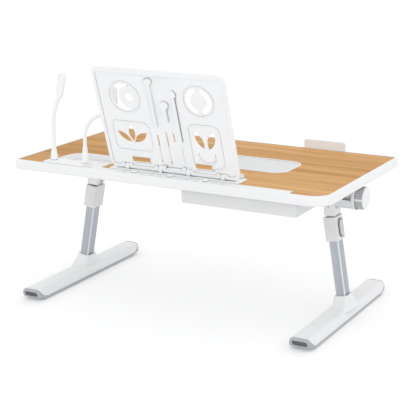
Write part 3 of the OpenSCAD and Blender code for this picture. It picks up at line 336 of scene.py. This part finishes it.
def milky_lens(name):
    """Diffuser of the lamp: opal plastic with a faint prism pattern."""
    f = Finish(name)
    place = f.place()
    prism = f.add("ShaderNodeTexVoronoi", {"feature": "F1"},
                  {"Vector": place, "Scale": 900.0, "Randomness": 0.0})
    cloud = f.noise(place, 60, 2.0)
    toned = f.tint(cloud, (0.93, 0.915, 0.845), (0.965, 0.955, 0.90))
    return f.skin({"Base Color": toned, "Roughness": 0.24 + 0.1 * cloud,
                   "Normal": f.bump(prism, 0.00003),
                   "IOR": 1.49, "Coat Weight": 0.3, "Coat Roughness": 0.1})


SPLAY = math.radians(9.6)
# found by a node's own name, by that name without its side, or by its material slot
FINISH = {
    "rim": moulded("rim plastic", (0.905, 0.908, 0.913), 0.42, painted_corner_shade=0.40),
    "wood": oak_board("oak board"),
    "pad": soft_sheet("pad sheet", (0.790, 0.796, 0.802)),
    "stand": moulded("stand plastic", (0.935, 0.940, 0.946), 0.42, painted_corner_shade=1.0, reach=0.0035),
    "fitting": moulded("lamp and fan plastic", (0.925, 0.928, 0.930), 0.34, 0.00001, coat=0.2),
    "blade": soft_rubber("fan blade rubber", (0.86, 0.865, 0.87), 0.45, 0.015),
    "lens": milky_lens("lamp lens"),
    "connector": plated_steel("plug shell"),
    # painted shade: the drawer is a greyer copy of the white plastic, and its wide corner reach
    # darkens it towards the rim, for the shade under the top
    "drawer": moulded("drawer plastic", (0.780, 0.783, 0.787), 0.44, painted_corner_shade=0.45, reach=0.014),
    "fastener": plated_steel("screw steel", (0.50, 0.51, 0.53)),
    "housing": moulded("housing plastic", (0.760, 0.764, 0.770), 0.42, painted_corner_shade=0.9, reach=0.009),
    "leg_white": moulded("leg plastic", (0.868, 0.871, 0.876), 0.42, painted_corner_shade=0.7, reach=0.006),
    "collar": moulded("collar plastic", (0.775, 0.780, 0.787), 0.40, painted_corner_shade=0.9, reach=0.005),
    "button": moulded("knob face plastic", (0.870, 0.873, 0.878), 0.34, coat=0.1),
    "height_button": moulded("button plastic", (0.600, 0.604, 0.612), 0.36, coat=0.1, painted_corner_shade=1.0,
                             reach=0.003),
    # painted shadow: this dark plastic rings the height button in place of the shade on its side wall
    "button_trim": moulded("button trim plastic", (0.230, 0.233, 0.240), 0.40),
    "sole": soft_rubber("sole rubber", (0.500, 0.512, 0.533)),
    "insert": soft_rubber("insert rubber", (0.120, 0.124, 0.132), 0.55, 0.08),
    "steel": plated_steel("shaft steel"),
    "grip": ribbed_grip("grip plastic", (0.500, 0.504, 0.512)),
    # painted light: the stopper is tinted blue to cancel the warm light that the oak bounces onto it
    "stopper": moulded("stopper plastic", (0.900, 0.945, 0.985), 0.42),
}
for side, k in SIDES:
    FINISH[side + "_tube"] = drawn_aluminium(
        side + " tube aluminium", (0.450, 0.470, 0.505), (k * math.sin(SPLAY), 0.0, -math.cos(SPLAY)))


def finish_of(node):
    """The finish of a part of the desk; a tube has the one of its own side."""
    slot = SLOT_OF[node]
    for own in (node, node.partition("_")[2]):
        if own in FINISH:
            return FINISH[own]
    return FINISH[node.split("_")[0] + "_tube" if slot == "tube" else slot]


# ---- making pieces ----


SHARP = math.radians(38)


def finished(name, mesh, finish):
    """A piece with its finish, smooth but for its sharp edges."""
    mesh.materials.clear()
    mesh.materials.append(finish)
    mesh.shade_smooth()
    mesh.set_sharp_from_angle(angle=SHARP)
    piece = bpy.data.objects.new(name, mesh)
    bpy.context.scene.collection.objects.link(piece)
    return piece


def settle(name, mesh, node, *others):
    """Turns a mesh into a piece that stands for a part of the desk, and for others with it."""
    piece = finished(name, mesh, finish_of(node))
    even = piece.modifiers.new("even shading", "WEIGHTED_NORMAL")
    even.keep_sharp = True
    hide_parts(node, *others)
    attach(piece, BODY_OF[node])


def add_on(name, mesh, body, finish):
    """Turns a mesh into a small extra piece that rides on a body."""
    piece = finished(name, mesh, finish)
    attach(piece, body)


def to_mesh(name, bm):
    """Closes a mesh that was being built, with its faces turned outwards."""
    bmesh.ops.recalc_face_normals(bm, faces=bm.faces[:])
    mesh = bpy.data.meshes.new(name)
    bm.to_mesh(mesh)
    bm.free()
    return mesh


def pocketed(mesh, boxes):
    """A mesh with box-shaped pockets cut into it."""
    bm = bmesh.new()
    for low, high in boxes:
        a, b, c, d, e, f, g, h = (
            bm.verts.new((x, y, z))
            for x in (low.x, high.x) for y in (low.y, high.y) for z in (low.z, high.z))
        for face in ((a, b, d, c), (e, g, h, f), (a, e, f, b),
                     (c, d, h, g), (a, c, g, e), (b, f, h, d)):
            bm.faces.new(face)
    cutter = bpy.data.objects.new("cutter", to_mesh("cutter", bm))
    block = bpy.data.objects.new("block", mesh.copy())
    for thing in (cutter, block):
        bpy.context.scene.collection.objects.link(thing)
    cut = block.modifiers.new("pockets", "BOOLEAN")
    cut.operation, cut.solver, cut.object = "DIFFERENCE", "EXACT", cutter
    after = block.evaluated_get(bpy.context.evaluated_depsgraph_get())
    result = bpy.data.meshes.new_from_object(after)
    for thing in (cutter, block):
        bpy.data.objects.remove(thing)
    return result


EDGE = math.radians(28)  # what bends less than this is a round face, not an edge
FLAT = math.radians(0.4)
SAME_SPOT = 0.002 * MM


def soften(node, radius, steps=2, pockets=()):
    """A copy of a part with its edges rounded, as a mould leaves them: a radius in millimetres
    and the steps round it."""
    bm = bmesh.new()
    source = frame["nodes"][node].data
    bm.from_mesh(pocketed(source, pockets) if pockets else source)
    bmesh.ops.remove_doubles(bm, verts=bm.verts[:], dist=SAME_SPOT)
    bmesh.ops.dissolve_limit(bm, angle_limit=FLAT, verts=bm.verts[:], edges=bm.edges[:])
    edges = [e for e in bm.edges if len(e.link_faces) == 2 and e.calc_face_angle(0) > EDGE]
    bmesh.ops.bevel(bm, geom=edges, offset=radius * MM, offset_type="OFFSET", segments=steps,
                    profile=0.5, affect="EDGES", clamp_overlap=True)
    settle("made_" + node, to_mesh(node, bm), node)


def skin_over(bm, rings, start=True, end=True):
    """Adds a skin over rings of points, with its ends filled or left open."""
    rows = [[bm.verts.new(p) for p in ring] for ring in rings]
    count = len(rows[0])
    for low, high in zip(rows, rows[1:]):
        for i in range(count):
            j = (i + 1) % count
            bm.faces.new((low[i], low[j], high[j], high[i]))
    if start:
        bm.faces.new(rows[0][::-1])
    if end:
        bm.faces.new(rows[-1])


def angles(count):
    """Angles in even steps once round."""
    return [2 * math.pi * i / count for i in range(count)]


def superoval(half_x, half_y, power, count=40):
    """Points round an oval that is squarer the higher its power is."""
    points = []
    for a in angles(count):
        c, s = math.cos(a), math.sin(a)
        points.append((half_x * math.copysign(abs(c) ** (2 / power), c),
                       half_y * math.copysign(abs(s) ** (2 / power), s)))
    return points


def middle(node):
    low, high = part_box(node)
    return (low + high) / 2


# ---- lamp and fan ----

BASE_R = 6.8  # of both plug-in bases


def neck_rings(base, base_l, neck_r, straight, bend_r, bend, turn=0.0, tail=0.0):
    """Rings of a tapered base, a straight neck, its bend and its tail, and where they end."""
    taper_z, taper_r, top_r = 5.0, BASE_R - 0.15, neck_r + 0.6
    spots = [(0.0, BASE_R - 0.5), (0.5, BASE_R), (taper_z, taper_r)]
    for t in (i / 10 for i in range(1, 11)):
        spots.append((taper_z + (base_l - taper_z) * t, taper_r + (top_r - taper_r) * t ** 0.9))
    spots += [(base_l + 0.6, neck_r + 0.1), (base_l + 1.1, neck_r)]
    spots += [(base_l + straight * i / 6, neck_r) for i in range(1, 7)]
    # each stop along the neck: its lean, its middle and its radius
    stops = [(0.0, Vector((0, 0, z)), r) for z, r in spots]
    for i in range(1, 25):
        a = bend * i / 24
        stops.append((a, Vector((bend_r * (1 - math.cos(a)), 0,
                                 base_l + straight + bend_r * math.sin(a))), neck_r))
    last = stops[-1][1] + Matrix.Rotation(bend, 3, "Y") @ Vector((0, 0, tail))
    if tail:
        stops.append((bend, last, neck_r))
    spot = middle(base)
    foot = Vector((spot.x, spot.y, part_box(base)[0].z))
    heading = Matrix.Rotation(turn, 3, "Z")
    rings = []
    for a, centre, r in stops:
        tilt = Matrix.Rotation(a, 3, "Y")
        rings.append([
            foot + heading @ (centre + tilt @ Vector((r * math.cos(b), r * math.sin(b), 0))) * MM
            for b in angles(32)])
    return rings, foot + heading @ last * MM


# height, half width and half thickness along the lamp head's lean
PADDLE = [(-2.0, 3.7, 3.7), (0.5, 4.1, 3.8), (3, 4.9, 3.9), (6, 5.8, 4.0), (9.5, 6.6, 4.1),
          (13, 7.15, 4.15), (17, 7.45, 4.2), (22, 7.5, 4.2), (28, 7.5, 4.2), (34, 7.5, 4.2),
          (38, 7.45, 4.2), (40.5, 6.9, 4.15), (42.3, 5.9, 4.0), (43.7, 4.5, 3.6),
          (44.6, 2.9, 3.0), (44.95, 1.5, 2.2)]


def make_lamp():
    bend, nod = math.radians(31), math.radians(20)
    rings, end = neck_rings("lamp_base", base_l=20, neck_r=3.65, straight=42, bend_r=95,
                            bend=bend)
    bm = bmesh.new()
    skin_over(bm, rings)
    settle("lamp_stem", to_mesh("lamp_stem", bm), "lamp_neck", "lamp_base")
    lean = Matrix.Rotation(bend - nod, 3, "Y")
    rings = []
    for height, half_w, half_t in PADDLE:
        power = 2.0 + 1.4 * min(1, (height + 2) / 12)  # round at the neck, flatter above
        rings.append([end + lean @ Vector((x, y, height)) * MM
                      for x, y in superoval(half_w, half_t, power)])
    bm = bmesh.new()
    skin_over(bm, rings)
    settle("lamp_paddle", to_mesh("lamp_paddle", bm), "lamp_head")
    soften("lamp_lens", 0.25)
    soften("lamp_plug", 0.3)


HUB_BORE, HUB_R, HUB_HALF = 1.25, 5.0, 3.0
BLADE_W, BLADE_T = 6.9, 0.75  # the widest half width and the root's half thickness
BLADE_ROOT, PITCH, TWIST, CAMBER = 3.5, 26, 15, 0.9


def blade_ring(t, reach):
    """Points round a blade at a share t of its length: a curved, twisted leaf."""
    half = BLADE_W * (0.62 + 0.38 * math.sin(math.pi * min(1, 0.18 + t * 0.62)))
    if t > 0.8:
        half *= math.sqrt(max(0.05, 1 - ((t - 0.8) / 0.2) ** 2.4))
    pitch = math.radians(PITCH - TWIST * t)
    limit = HUB_HALF - 0.1
    ring = []
    for x, y in superoval(half, BLADE_T - 0.35 * t, 2.2, 24):
        y += CAMBER * (1 - (x / 7) ** 2) - 0.5
        depth = x * math.sin(pitch) + y * math.cos(pitch)
        ring.append(Vector((x * math.cos(pitch) - y * math.sin(pitch),
                            max(-limit, min(limit, depth)),
                            BLADE_ROOT + (reach - BLADE_ROOT - 0.1) * t)))
    return ring


def make_fan():
    rings, _ = neck_rings("fan_base", base_l=28, neck_r=3.45, straight=19, bend_r=40,
                          bend=math.radians(68), turn=math.radians(27), tail=15)
    bm = bmesh.new()
    skin_over(bm, rings)
    settle("fan_stem", to_mesh("fan_stem", bm), "fan_neck", "fan_base")
    soften("fan_motor", 0.8, 3)
    soften("fan_plug", 0.3)
    # the blades on their small hub
    hub = middle("fan_blades")
    low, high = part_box("fan_blades")
    reach = (high.z - low.z) / 2 / MM
    rings = []
    for y, r in ((-HUB_HALF, HUB_BORE), (-HUB_HALF, HUB_R - 0.6), (-HUB_HALF + 0.6, HUB_R),
                 (HUB_HALF - 1.4, HUB_R), (HUB_HALF - 0.4, HUB_R - 0.5), (HUB_HALF, HUB_R - 1.6),
                 (HUB_HALF, HUB_BORE)):
        rings.append([hub + Vector((r * math.cos(a), y, r * math.sin(a))) * MM
                      for a in angles(32)])
    bm = bmesh.new()
    skin_over(bm, rings + rings[:1], False, False)
    for half_turn in (0, math.pi):
        swing = Matrix.Rotation(half_turn, 3, "Y")
        skin_over(bm, [[hub + swing @ p * MM for p in blade_ring(i / 14, reach)]
                       for i in range(15)])
    settle("fan_propeller", to_mesh("fan_propeller", bm), "fan_blades")


# ---- feet ----

FOOT_W, FOOT_H = 20.5, 22.0  # half the foot's width, and its height
SEAM_Z, CAP = 6.8, 4.0  # the sole's height along the sides, and the length of its end caps
RAKE, LIFT = 7.0, 5.0  # how far an end leans in, and how far the sole rises there
END_CORNER = 5.0  # seen from above
END_ROUND, END_DROP = 2.5, 1.1  # the top's rounding over an end: its length and its drop
RISE_FROM, LEAN_FROM = 29, 34  # how far from an end the rise and the lean begin
SWEEP = 15  # how far past a cap the seam sweeps down
# half of the foot's outline, from the sole's middle up to the top's middle
PROFILE = [(0, 0), (17.5, 0), (19.5, 0.2), (20.2, 0.8), (FOOT_W, 2.0), (FOOT_W, 6.0),
           (20.4, 8.2), (20.0, 11.0), (19.2, 14.0), (18.0, 16.8), (16.4, 19.1), (14.5, 20.7),
           (12.6, 21.55), (10.4, 21.9), (6, FOOT_H), (0, FOOT_H)]
# rings along the foot, close together towards its ends
STATIONS = [0, 0.35, 0.9, 1.8, 3, 4, 5.2, 6.8, 8.6, 10.6, 12.8, 15, 17.5, 20, 23, 26.5, 30, 36,
            50, 80]
HALF_RING = 26  # points up one side of a ring
BAND_IN = 0.3  # how far the sole's band lies inside the shell's side
MEETING = 0.01  # points this close are one


def along_profile(t):
    """The point at a share t of the way from the sole's middle up to the top's middle."""
    gaps = [math.dist(a, b) for a, b in zip(PROFILE, PROFILE[1:])]
    left = t * sum(gaps)
    for gap, a, b in zip(gaps, PROFILE, PROFILE[1:]):
        if left <= gap:
            u = left / gap
            return a[0] + (b[0] - a[0]) * u, a[1] + (b[1] - a[1]) * u
        left -= gap
    return PROFILE[-1]


def share_at(height):
    """How far along the profile its side reaches a height."""
    if height >= FOOT_H - 0.01:
        return 1.0
    low, high = 0.3, 1.0  # the low one is still on the flat sole
    for _ in range(40):
        mid = (low + high) / 2
        if along_profile(mid)[1] < height:
            low = mid
        else:
            high = mid
    return high


def rounded_in(e, radius):
    """How far a corner of this radius has come in, at a distance e from its end."""
    return radius - math.sqrt(max(0, radius ** 2 - (radius - min(e, radius)) ** 2))


def foot_point(t, side, y, length, inset=0.0):
    """A point of the foot's outside; y runs from 0 to the foot's length."""
    x, z = along_profile(t)
    e = min(y, length - y)
    x *= 1 - rounded_in(e, END_CORNER) / FOOT_W
    z *= 1 - rounded_in(e, END_ROUND) / END_ROUND * END_DROP / FOOT_H
    rise = min(1.0, max(0.0, (RISE_FROM - e) / (RISE_FROM - END_CORNER)))
    lift = LIFT * rise * rise * (3 - 2 * rise)
    z = lift + z * (FOOT_H - lift) / FOOT_H
    lean = RAKE * (FOOT_H - z) / (FOOT_H - LIFT) * max(0.0, 1 - e / LEAN_FROM) ** 1.5
    y += lean if y < length / 2 else -lean
    return side * max(0.0, x - inset), y, z


def foot_stations(length, start):
    """Places of the rings along a foot, from a start behind each end."""
    near = [y for y in STATIONS if y >= start]
    return near + [length / 2] + [length - y for y in reversed(near)]


def seam_share(y, length):
    """Where the shell meets the sole: low along the sides, sweeping up over the ends."""
    e = min(y, length - y)
    if e <= CAP:
        return 1.0
    t = min(1.0, (e - CAP) / SWEEP)
    return share_at(SEAM_Z + (FOOT_H - SEAM_Z) * (1 - math.sqrt(1 - (1 - t) ** 2)))


def make_sole(side, at, length):
    """The band under the foot and the caps at its ends."""
    rings = []
    for y in foot_stations(length, 0):
        share = seam_share(y, length)
        inset = BAND_IN if min(y, length - y) > CAP else 0.0
        half = [share * (1 - i / HALF_RING) for i in range(HALF_RING)]
        ring = [at(*foot_point(t, 1, y, length, inset)) for t in half]
        ring += [at(*foot_point(t, -1, y, length, inset)) for t in [0.0] + half[::-1]]
        rings.append(ring)
    bm = bmesh.new()
    skin_over(bm, rings)
    bmesh.ops.remove_doubles(bm, verts=bm.verts[:], dist=MEETING * MM)
    settle(side + "_sole_band", to_mesh(side + "_sole_band", bm), side + "_foot_sole")


def shell_rings(at, length):
    """The shell above the seam, from just behind one cap to just behind the other."""
    rings = []
    for y in foot_stations(length, CAP + 0.05):
        share = min(seam_share(y, length), 0.985)  # a narrow strip is left over each cap
        half = [share + (1 - share) * i / HALF_RING for i in range(HALF_RING)]
        ring = [at(*foot_point(t, 1, y, length)) for t in half]
        ring += [at(*foot_point(t, -1, y, length)) for t in [1.0] + half[::-1]]
        rings.append(ring)
    return rings


SOCKET_Z, SOCKET_X, SOCKET_Y = 42, 13.2, 14.2  # the socket's top and half its size there
SOCKET_DEPTH, SPREAD = 20.4, 4.3  # down to the shell, and how much it grows along x by then
FLARE_R, FLARE_FROM, FLARE_TO = 26, 5.6, 25.6  # the arc by which it grows along the foot


def socket_rings(top, k):
    """The socket that the tube stands in: square above, rounder and wider where it meets the shell."""
    rings = []
    lip = [(0.0, -3.2), (0.0, -0.6), (0.25, -0.15), (0.8, 0.0)]  # depth and growth
    below = [2, 4, 6, 8, 10, 12, 13.5, 15, 16.5, 18, 19.3, SOCKET_DEPTH, 23]
    for depth, grow in lip + [(d, 0.0) for d in below]:
        t = min(1, depth / SOCKET_DEPTH)
        flare = FLARE_R - math.sqrt(FLARE_R ** 2 - min(FLARE_FROM + depth, FLARE_TO) ** 2)
        half_x = SOCKET_X + SPREAD * t ** 1.7 + grow
        half_y = SOCKET_Y + 0.98 * flare + grow
        tip = SPLAY * (1 - t)
        ring = []
        for x, y in superoval(half_x, half_y, 5.5 - 2.6 * t ** 3, 64):
            out = k * (x * math.cos(tip) + depth * math.tan(SPLAY))
            ring.append(top + Vector((out, y, x * math.sin(tip) - depth)) * MM)
        rings.append(ring)
    return rings


PLATE_Z, PLATE_W, PLATE_H = 12.6, 13.3, 4.4  # middle height and half its size


def make_cap_plates(side, at, length):
    """Plain dark plates let into the caps; their rings go from the back over the rounded face."""
    bm = bmesh.new()
    for far in (False, True):
        rings = []
        for proud, grow in ((-1.2, 0.0), (0.25, 0.0), (0.42, -0.2), (0.46, -0.7), (0.46, -1.3),
                            (0.30, -1.6), (0.30, -2.6)):
            ring = []
            for x, z in superoval(PLATE_W + grow, PLATE_H + grow, 5.0):
                height = PLATE_Z + z
                y = RAKE * (FOOT_H - height) / (FOOT_H - LIFT) - proud + 0.22
                ring.append(at(x, length - y if far else y, height))
            rings.append(ring)
        skin_over(bm, rings)
    settle(side + "_cap_plates", to_mesh(side + "_cap_plates", bm), side + "_foot_inserts")


def make_foot(side, k):
    low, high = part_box(side + "_foot_sole")
    foot_x, length = (low.x + high.x) / 2, (high.y - low.y) / MM

    def at(x, y, z):
        return Vector((foot_x + x * MM, low.y + y * MM, z * MM))

    make_sole(side, at, length)
    bm = bmesh.new()
    skin_over(bm, shell_rings(at, length))
    top = Vector((foot_x, middle(side + "_leg_tube").y, SOCKET_Z * MM))
    skin_over(bm, socket_rings(top, k), False, False)
    settle(side + "_foot_body", to_mesh(side + "_foot_body", bm), side + "_foot_shell")
    make_cap_plates(side, at, length)


# ---- legs ----

FOLD_X, _, FOLD_Z = (round(c / MM, 3) for c in middle("right_fold_pin"))
BUTTON_S = 40.0  # from the fold hinge down to the button's middle
BUTTON_W, BUTTON_L = 7.5, 14.5  # half the button's width and half its length


def leg_point(k, leg_y, x, y, down):
    """A point in the leg's own frame: x outwards, y along the foot, down from the fold hinge."""
    return Vector((k * (FOLD_X + x * math.cos(SPLAY) + down * math.sin(SPLAY)) * MM,
                   leg_y + y * MM,
                   (FOLD_Z + x * math.sin(SPLAY) - down * math.cos(SPLAY)) * MM))


def button_ovals(side, k, steps):
    """Long ovals round the height button: each step is a place outwards and a growth."""
    leg_y = middle(side + "_leg_tube").y
    rings = []
    for x, grow in steps:
        r = BUTTON_W + grow
        ring = []
        for a in angles(64):
            z = r * math.sin(a)
            down = BUTTON_S - z - math.copysign(BUTTON_L - BUTTON_W, z)
            ring.append(leg_point(k, leg_y, x, r * math.cos(a), down))
        rings.append(ring)
    return rings


def make_height_button(side, k):
    """The button with its crowned face, and a dark ring over the collar's raised oval that paints the
    shadow of the button's side wall.
    """
    bm = bmesh.new()
    skin_over(bm, button_ovals(side, k, (
        (12.6, -5.3), (12.8, -5.3), (12.8, 0.0), (14.1, 0.0), (14.55, -0.25), (14.9, -0.9),
        (15.1, -2.0), (15.18, -3.6), (15.2, -5.4))))
    settle(side + "_press_button", to_mesh(side + "_press_button", bm), side + "_height_button")
    # painted shadow: a dark ring round the button stands in for the shaded wall of its oval
    shadow_ring = button_ovals(side, k, (
        (11.6, 2.15), (13.2, 2.15), (13.5, 2.05), (13.6, 1.75), (13.6, 0.6), (13.5, 0.38),
        (11.6, 0.38)))
    bm = bmesh.new()
    skin_over(bm, shadow_ring + shadow_ring[:1], False, False)
    add_on(side + "_button_trim", to_mesh(side + "_button_trim", bm), BODY_OF[side + "_collar"],
           FINISH["button_trim"])


def make_leg(side, k):
    for node, radius, steps in (("leg_head", 0.9, 3), ("upper_leg", 0.7, 2), ("collar", 0.9, 3),
                                ("leg_tube", 0.25, 2), ("tilt_knob", 0.8, 3), ("knob_core", 0.5, 2),
                                ("lock_gear", 0.2, 2), ("tilt_shaft", 0.5, 2), ("fold_pin", 0.4, 2)):
        soften(side + "_" + node, radius, steps)
    make_height_button(side, k)


# ---- tilt housings ----

RING_T, RING_R, BORE_R = 4.9, 21.7, 20.4
TILT_Z = round(middle("left_tilt_shaft").z / MM, 3)
# the pocket beside a ring: from the ring inwards, and from the tilt axis forwards and upwards
POCKET_X, POCKET_Y, POCKET_Z = (0.8, 15.5), (14.8, 26), (-2.2, 19.5)


def make_ring_lip(side, k, ring_x, leg_y):
    """The white lip round the end of a housing's ring, up its outside and down into its bore."""
    rings = []
    for x, r in ((-2.2, RING_R - 0.3), (-2.2, RING_R + 0.02), (-2.0, RING_R + 0.16),
                 (-0.1, RING_R + 0.16), (0.14, RING_R), (0.2, RING_R - 0.3),
                 (0.2, BORE_R + 0.3), (0.1, BORE_R + 0.1), (-0.4, BORE_R + 0.02),
                 (-0.4, BORE_R + 0.3)):
        rings.append([Vector((k * (ring_x + x), leg_y + r * math.cos(a),
                              TILT_Z + r * math.sin(a))) * MM for a in angles(96)])
    bm = bmesh.new()
    skin_over(bm, rings + rings[:1], False, False)
    add_on(side + "_ring_lip", to_mesh(side + "_ring_lip", bm), "table", FINISH["rim"])


def make_housings():
    """Both housings with an open pocket beside each ring, and the rings' lips."""
    leg_y = middle("left_leg_tube").y / MM
    ring_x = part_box("tilt_housings")[1].x / MM
    pockets = []
    for _, k in SIDES:
        low_x, high_x = sorted(k * (ring_x - RING_T - x) for x in POCKET_X)
        pockets.append((Vector((low_x, leg_y - POCKET_Y[1], TILT_Z + POCKET_Z[0])) * MM,
                        Vector((high_x, leg_y - POCKET_Y[0], TILT_Z + POCKET_Z[1])) * MM))
    soften("tilt_housings", 0.7, 2, pockets)
    for side, k in SIDES:
        make_ring_lip(side, k, ring_x, leg_y)


# ---- everything ----

make_lamp()
make_fan()
make_housings()
for side, k in SIDES:
    make_foot(side, k)
    make_leg(side, k)
for node, radius, steps in (
        ("wood_top", 0.3, 2), ("edge_rim", 0.5, 2), ("underside_panel", 0.4, 1),
        ("accessory_strip", 0.35, 2), ("storage_tray", 0.5, 3), ("pad_frame", 0.45, 2),
        ("desk_pad", 0.4, 2), ("hub_case", 0.9, 3), ("drawer_rails", 0.35, 2),
        ("stand_base", 0.45, 2), ("stand_panel", 0.5, 2), ("page_clip_left", 0.5, 3),
        ("page_clip_right", 0.5, 3), ("stopper", 0.9, 3), ("drawer_box", 0.6, 3)):
    soften(node, radius, steps)

# ports, screws, hinge pins and springs stay as the frame has them, with their finishes on
for name, part in frame["nodes"].items():
    if part.material_slots:
        for slot in part.material_slots:
            slot.material = finish_of(name)
    else:
        part.data.materials.append(finish_of(name))

# ---- studio ----

FLOOR_HALF, FLOOR_GAP = 9, 0.0002  # metres
AIM = Vector((0, 0, 0.2))


def seen_rays(f):
    """1 for the rays that show the background: straight, mirrored or through the lens."""
    camera = f.add("ShaderNodeLightPath")
    glossy = f.add("ShaderNodeLightPath", out="Is Glossy Ray")
    through = f.add("ShaderNodeLightPath", out="Is Transmission Ray")
    return f.maths("MAXIMUM", f.maths("MAXIMUM", camera, glossy), through)


def make_world():
    w = Finish("studio", bpy.data.worlds)
    bpy.context.scene.world = w.made
    light = w.add("ShaderNodeBackground", None, {"Color": (0.99, 0.995, 1.0), "Strength": 0.975})
    white = w.add("ShaderNodeBackground", None, {"Color": (1, 1, 1), "Strength": 1.0})
    backdrop = w.add("ShaderNodeMixShader", None, {0: seen_rays(w), 1: light, 2: white})
    w.add("ShaderNodeOutputWorld", None, {"Surface": backdrop})


def make_light(name, place, size, power):
    lamp = bpy.data.lights.new(name, "AREA")
    lamp.shape = "SQUARE"
    lamp.size = size
    lamp.energy = power
    holder = bpy.data.objects.new(name, lamp)
    holder.location = place
    holder.rotation_euler = (AIM - Vector(place)).to_track_quat("-Z", "Y").to_euler()
    bpy.context.scene.collection.objects.link(holder)


def make_floor():
    """A pale floor that takes the shadow and looks near white to the camera."""
    f = Finish("studio floor")
    speck = f.noise(f.place(), 6, 2.0)
    sheet = {"Base Color": f.tint(speck, (0.86, 0.86, 0.86), (0.88, 0.88, 0.88)),
             "Roughness": 0.9, "Specular IOR Level": 0.1}
    plain = f.add("ShaderNodeBsdfPrincipled", None, sheet)
    lit = f.add("ShaderNodeBsdfPrincipled", None,
                {**sheet, "Emission Color": (1, 1, 1), "Emission Strength": 0.20})
    either = f.add("ShaderNodeMixShader", None, {0: seen_rays(f), 1: plain, 2: lit})
    f.add("ShaderNodeOutputMaterial", None, {"Surface": either})
    bm = bmesh.new()
    bm.faces.new([bm.verts.new((x * FLOOR_HALF, y * FLOOR_HALF, -FLOOR_GAP))
                  for x, y in ((-1, -1), (1, -1), (1, 1), (-1, 1))])
    floor = bpy.data.objects.new("studio_floor", to_mesh("studio_floor", bm))
    floor.data.materials.append(f.made)
    bpy.context.scene.collection.objects.link(floor)


make_world()
make_light("window", (2.1, -0.5, 0.75), size=2.0, power=3.2)
make_light("front fill", (0.4, -2.4, 1.0), size=1.8, power=4.0)
make_floor()
bpy.context.scene.view_settings.view_transform = "Standard"
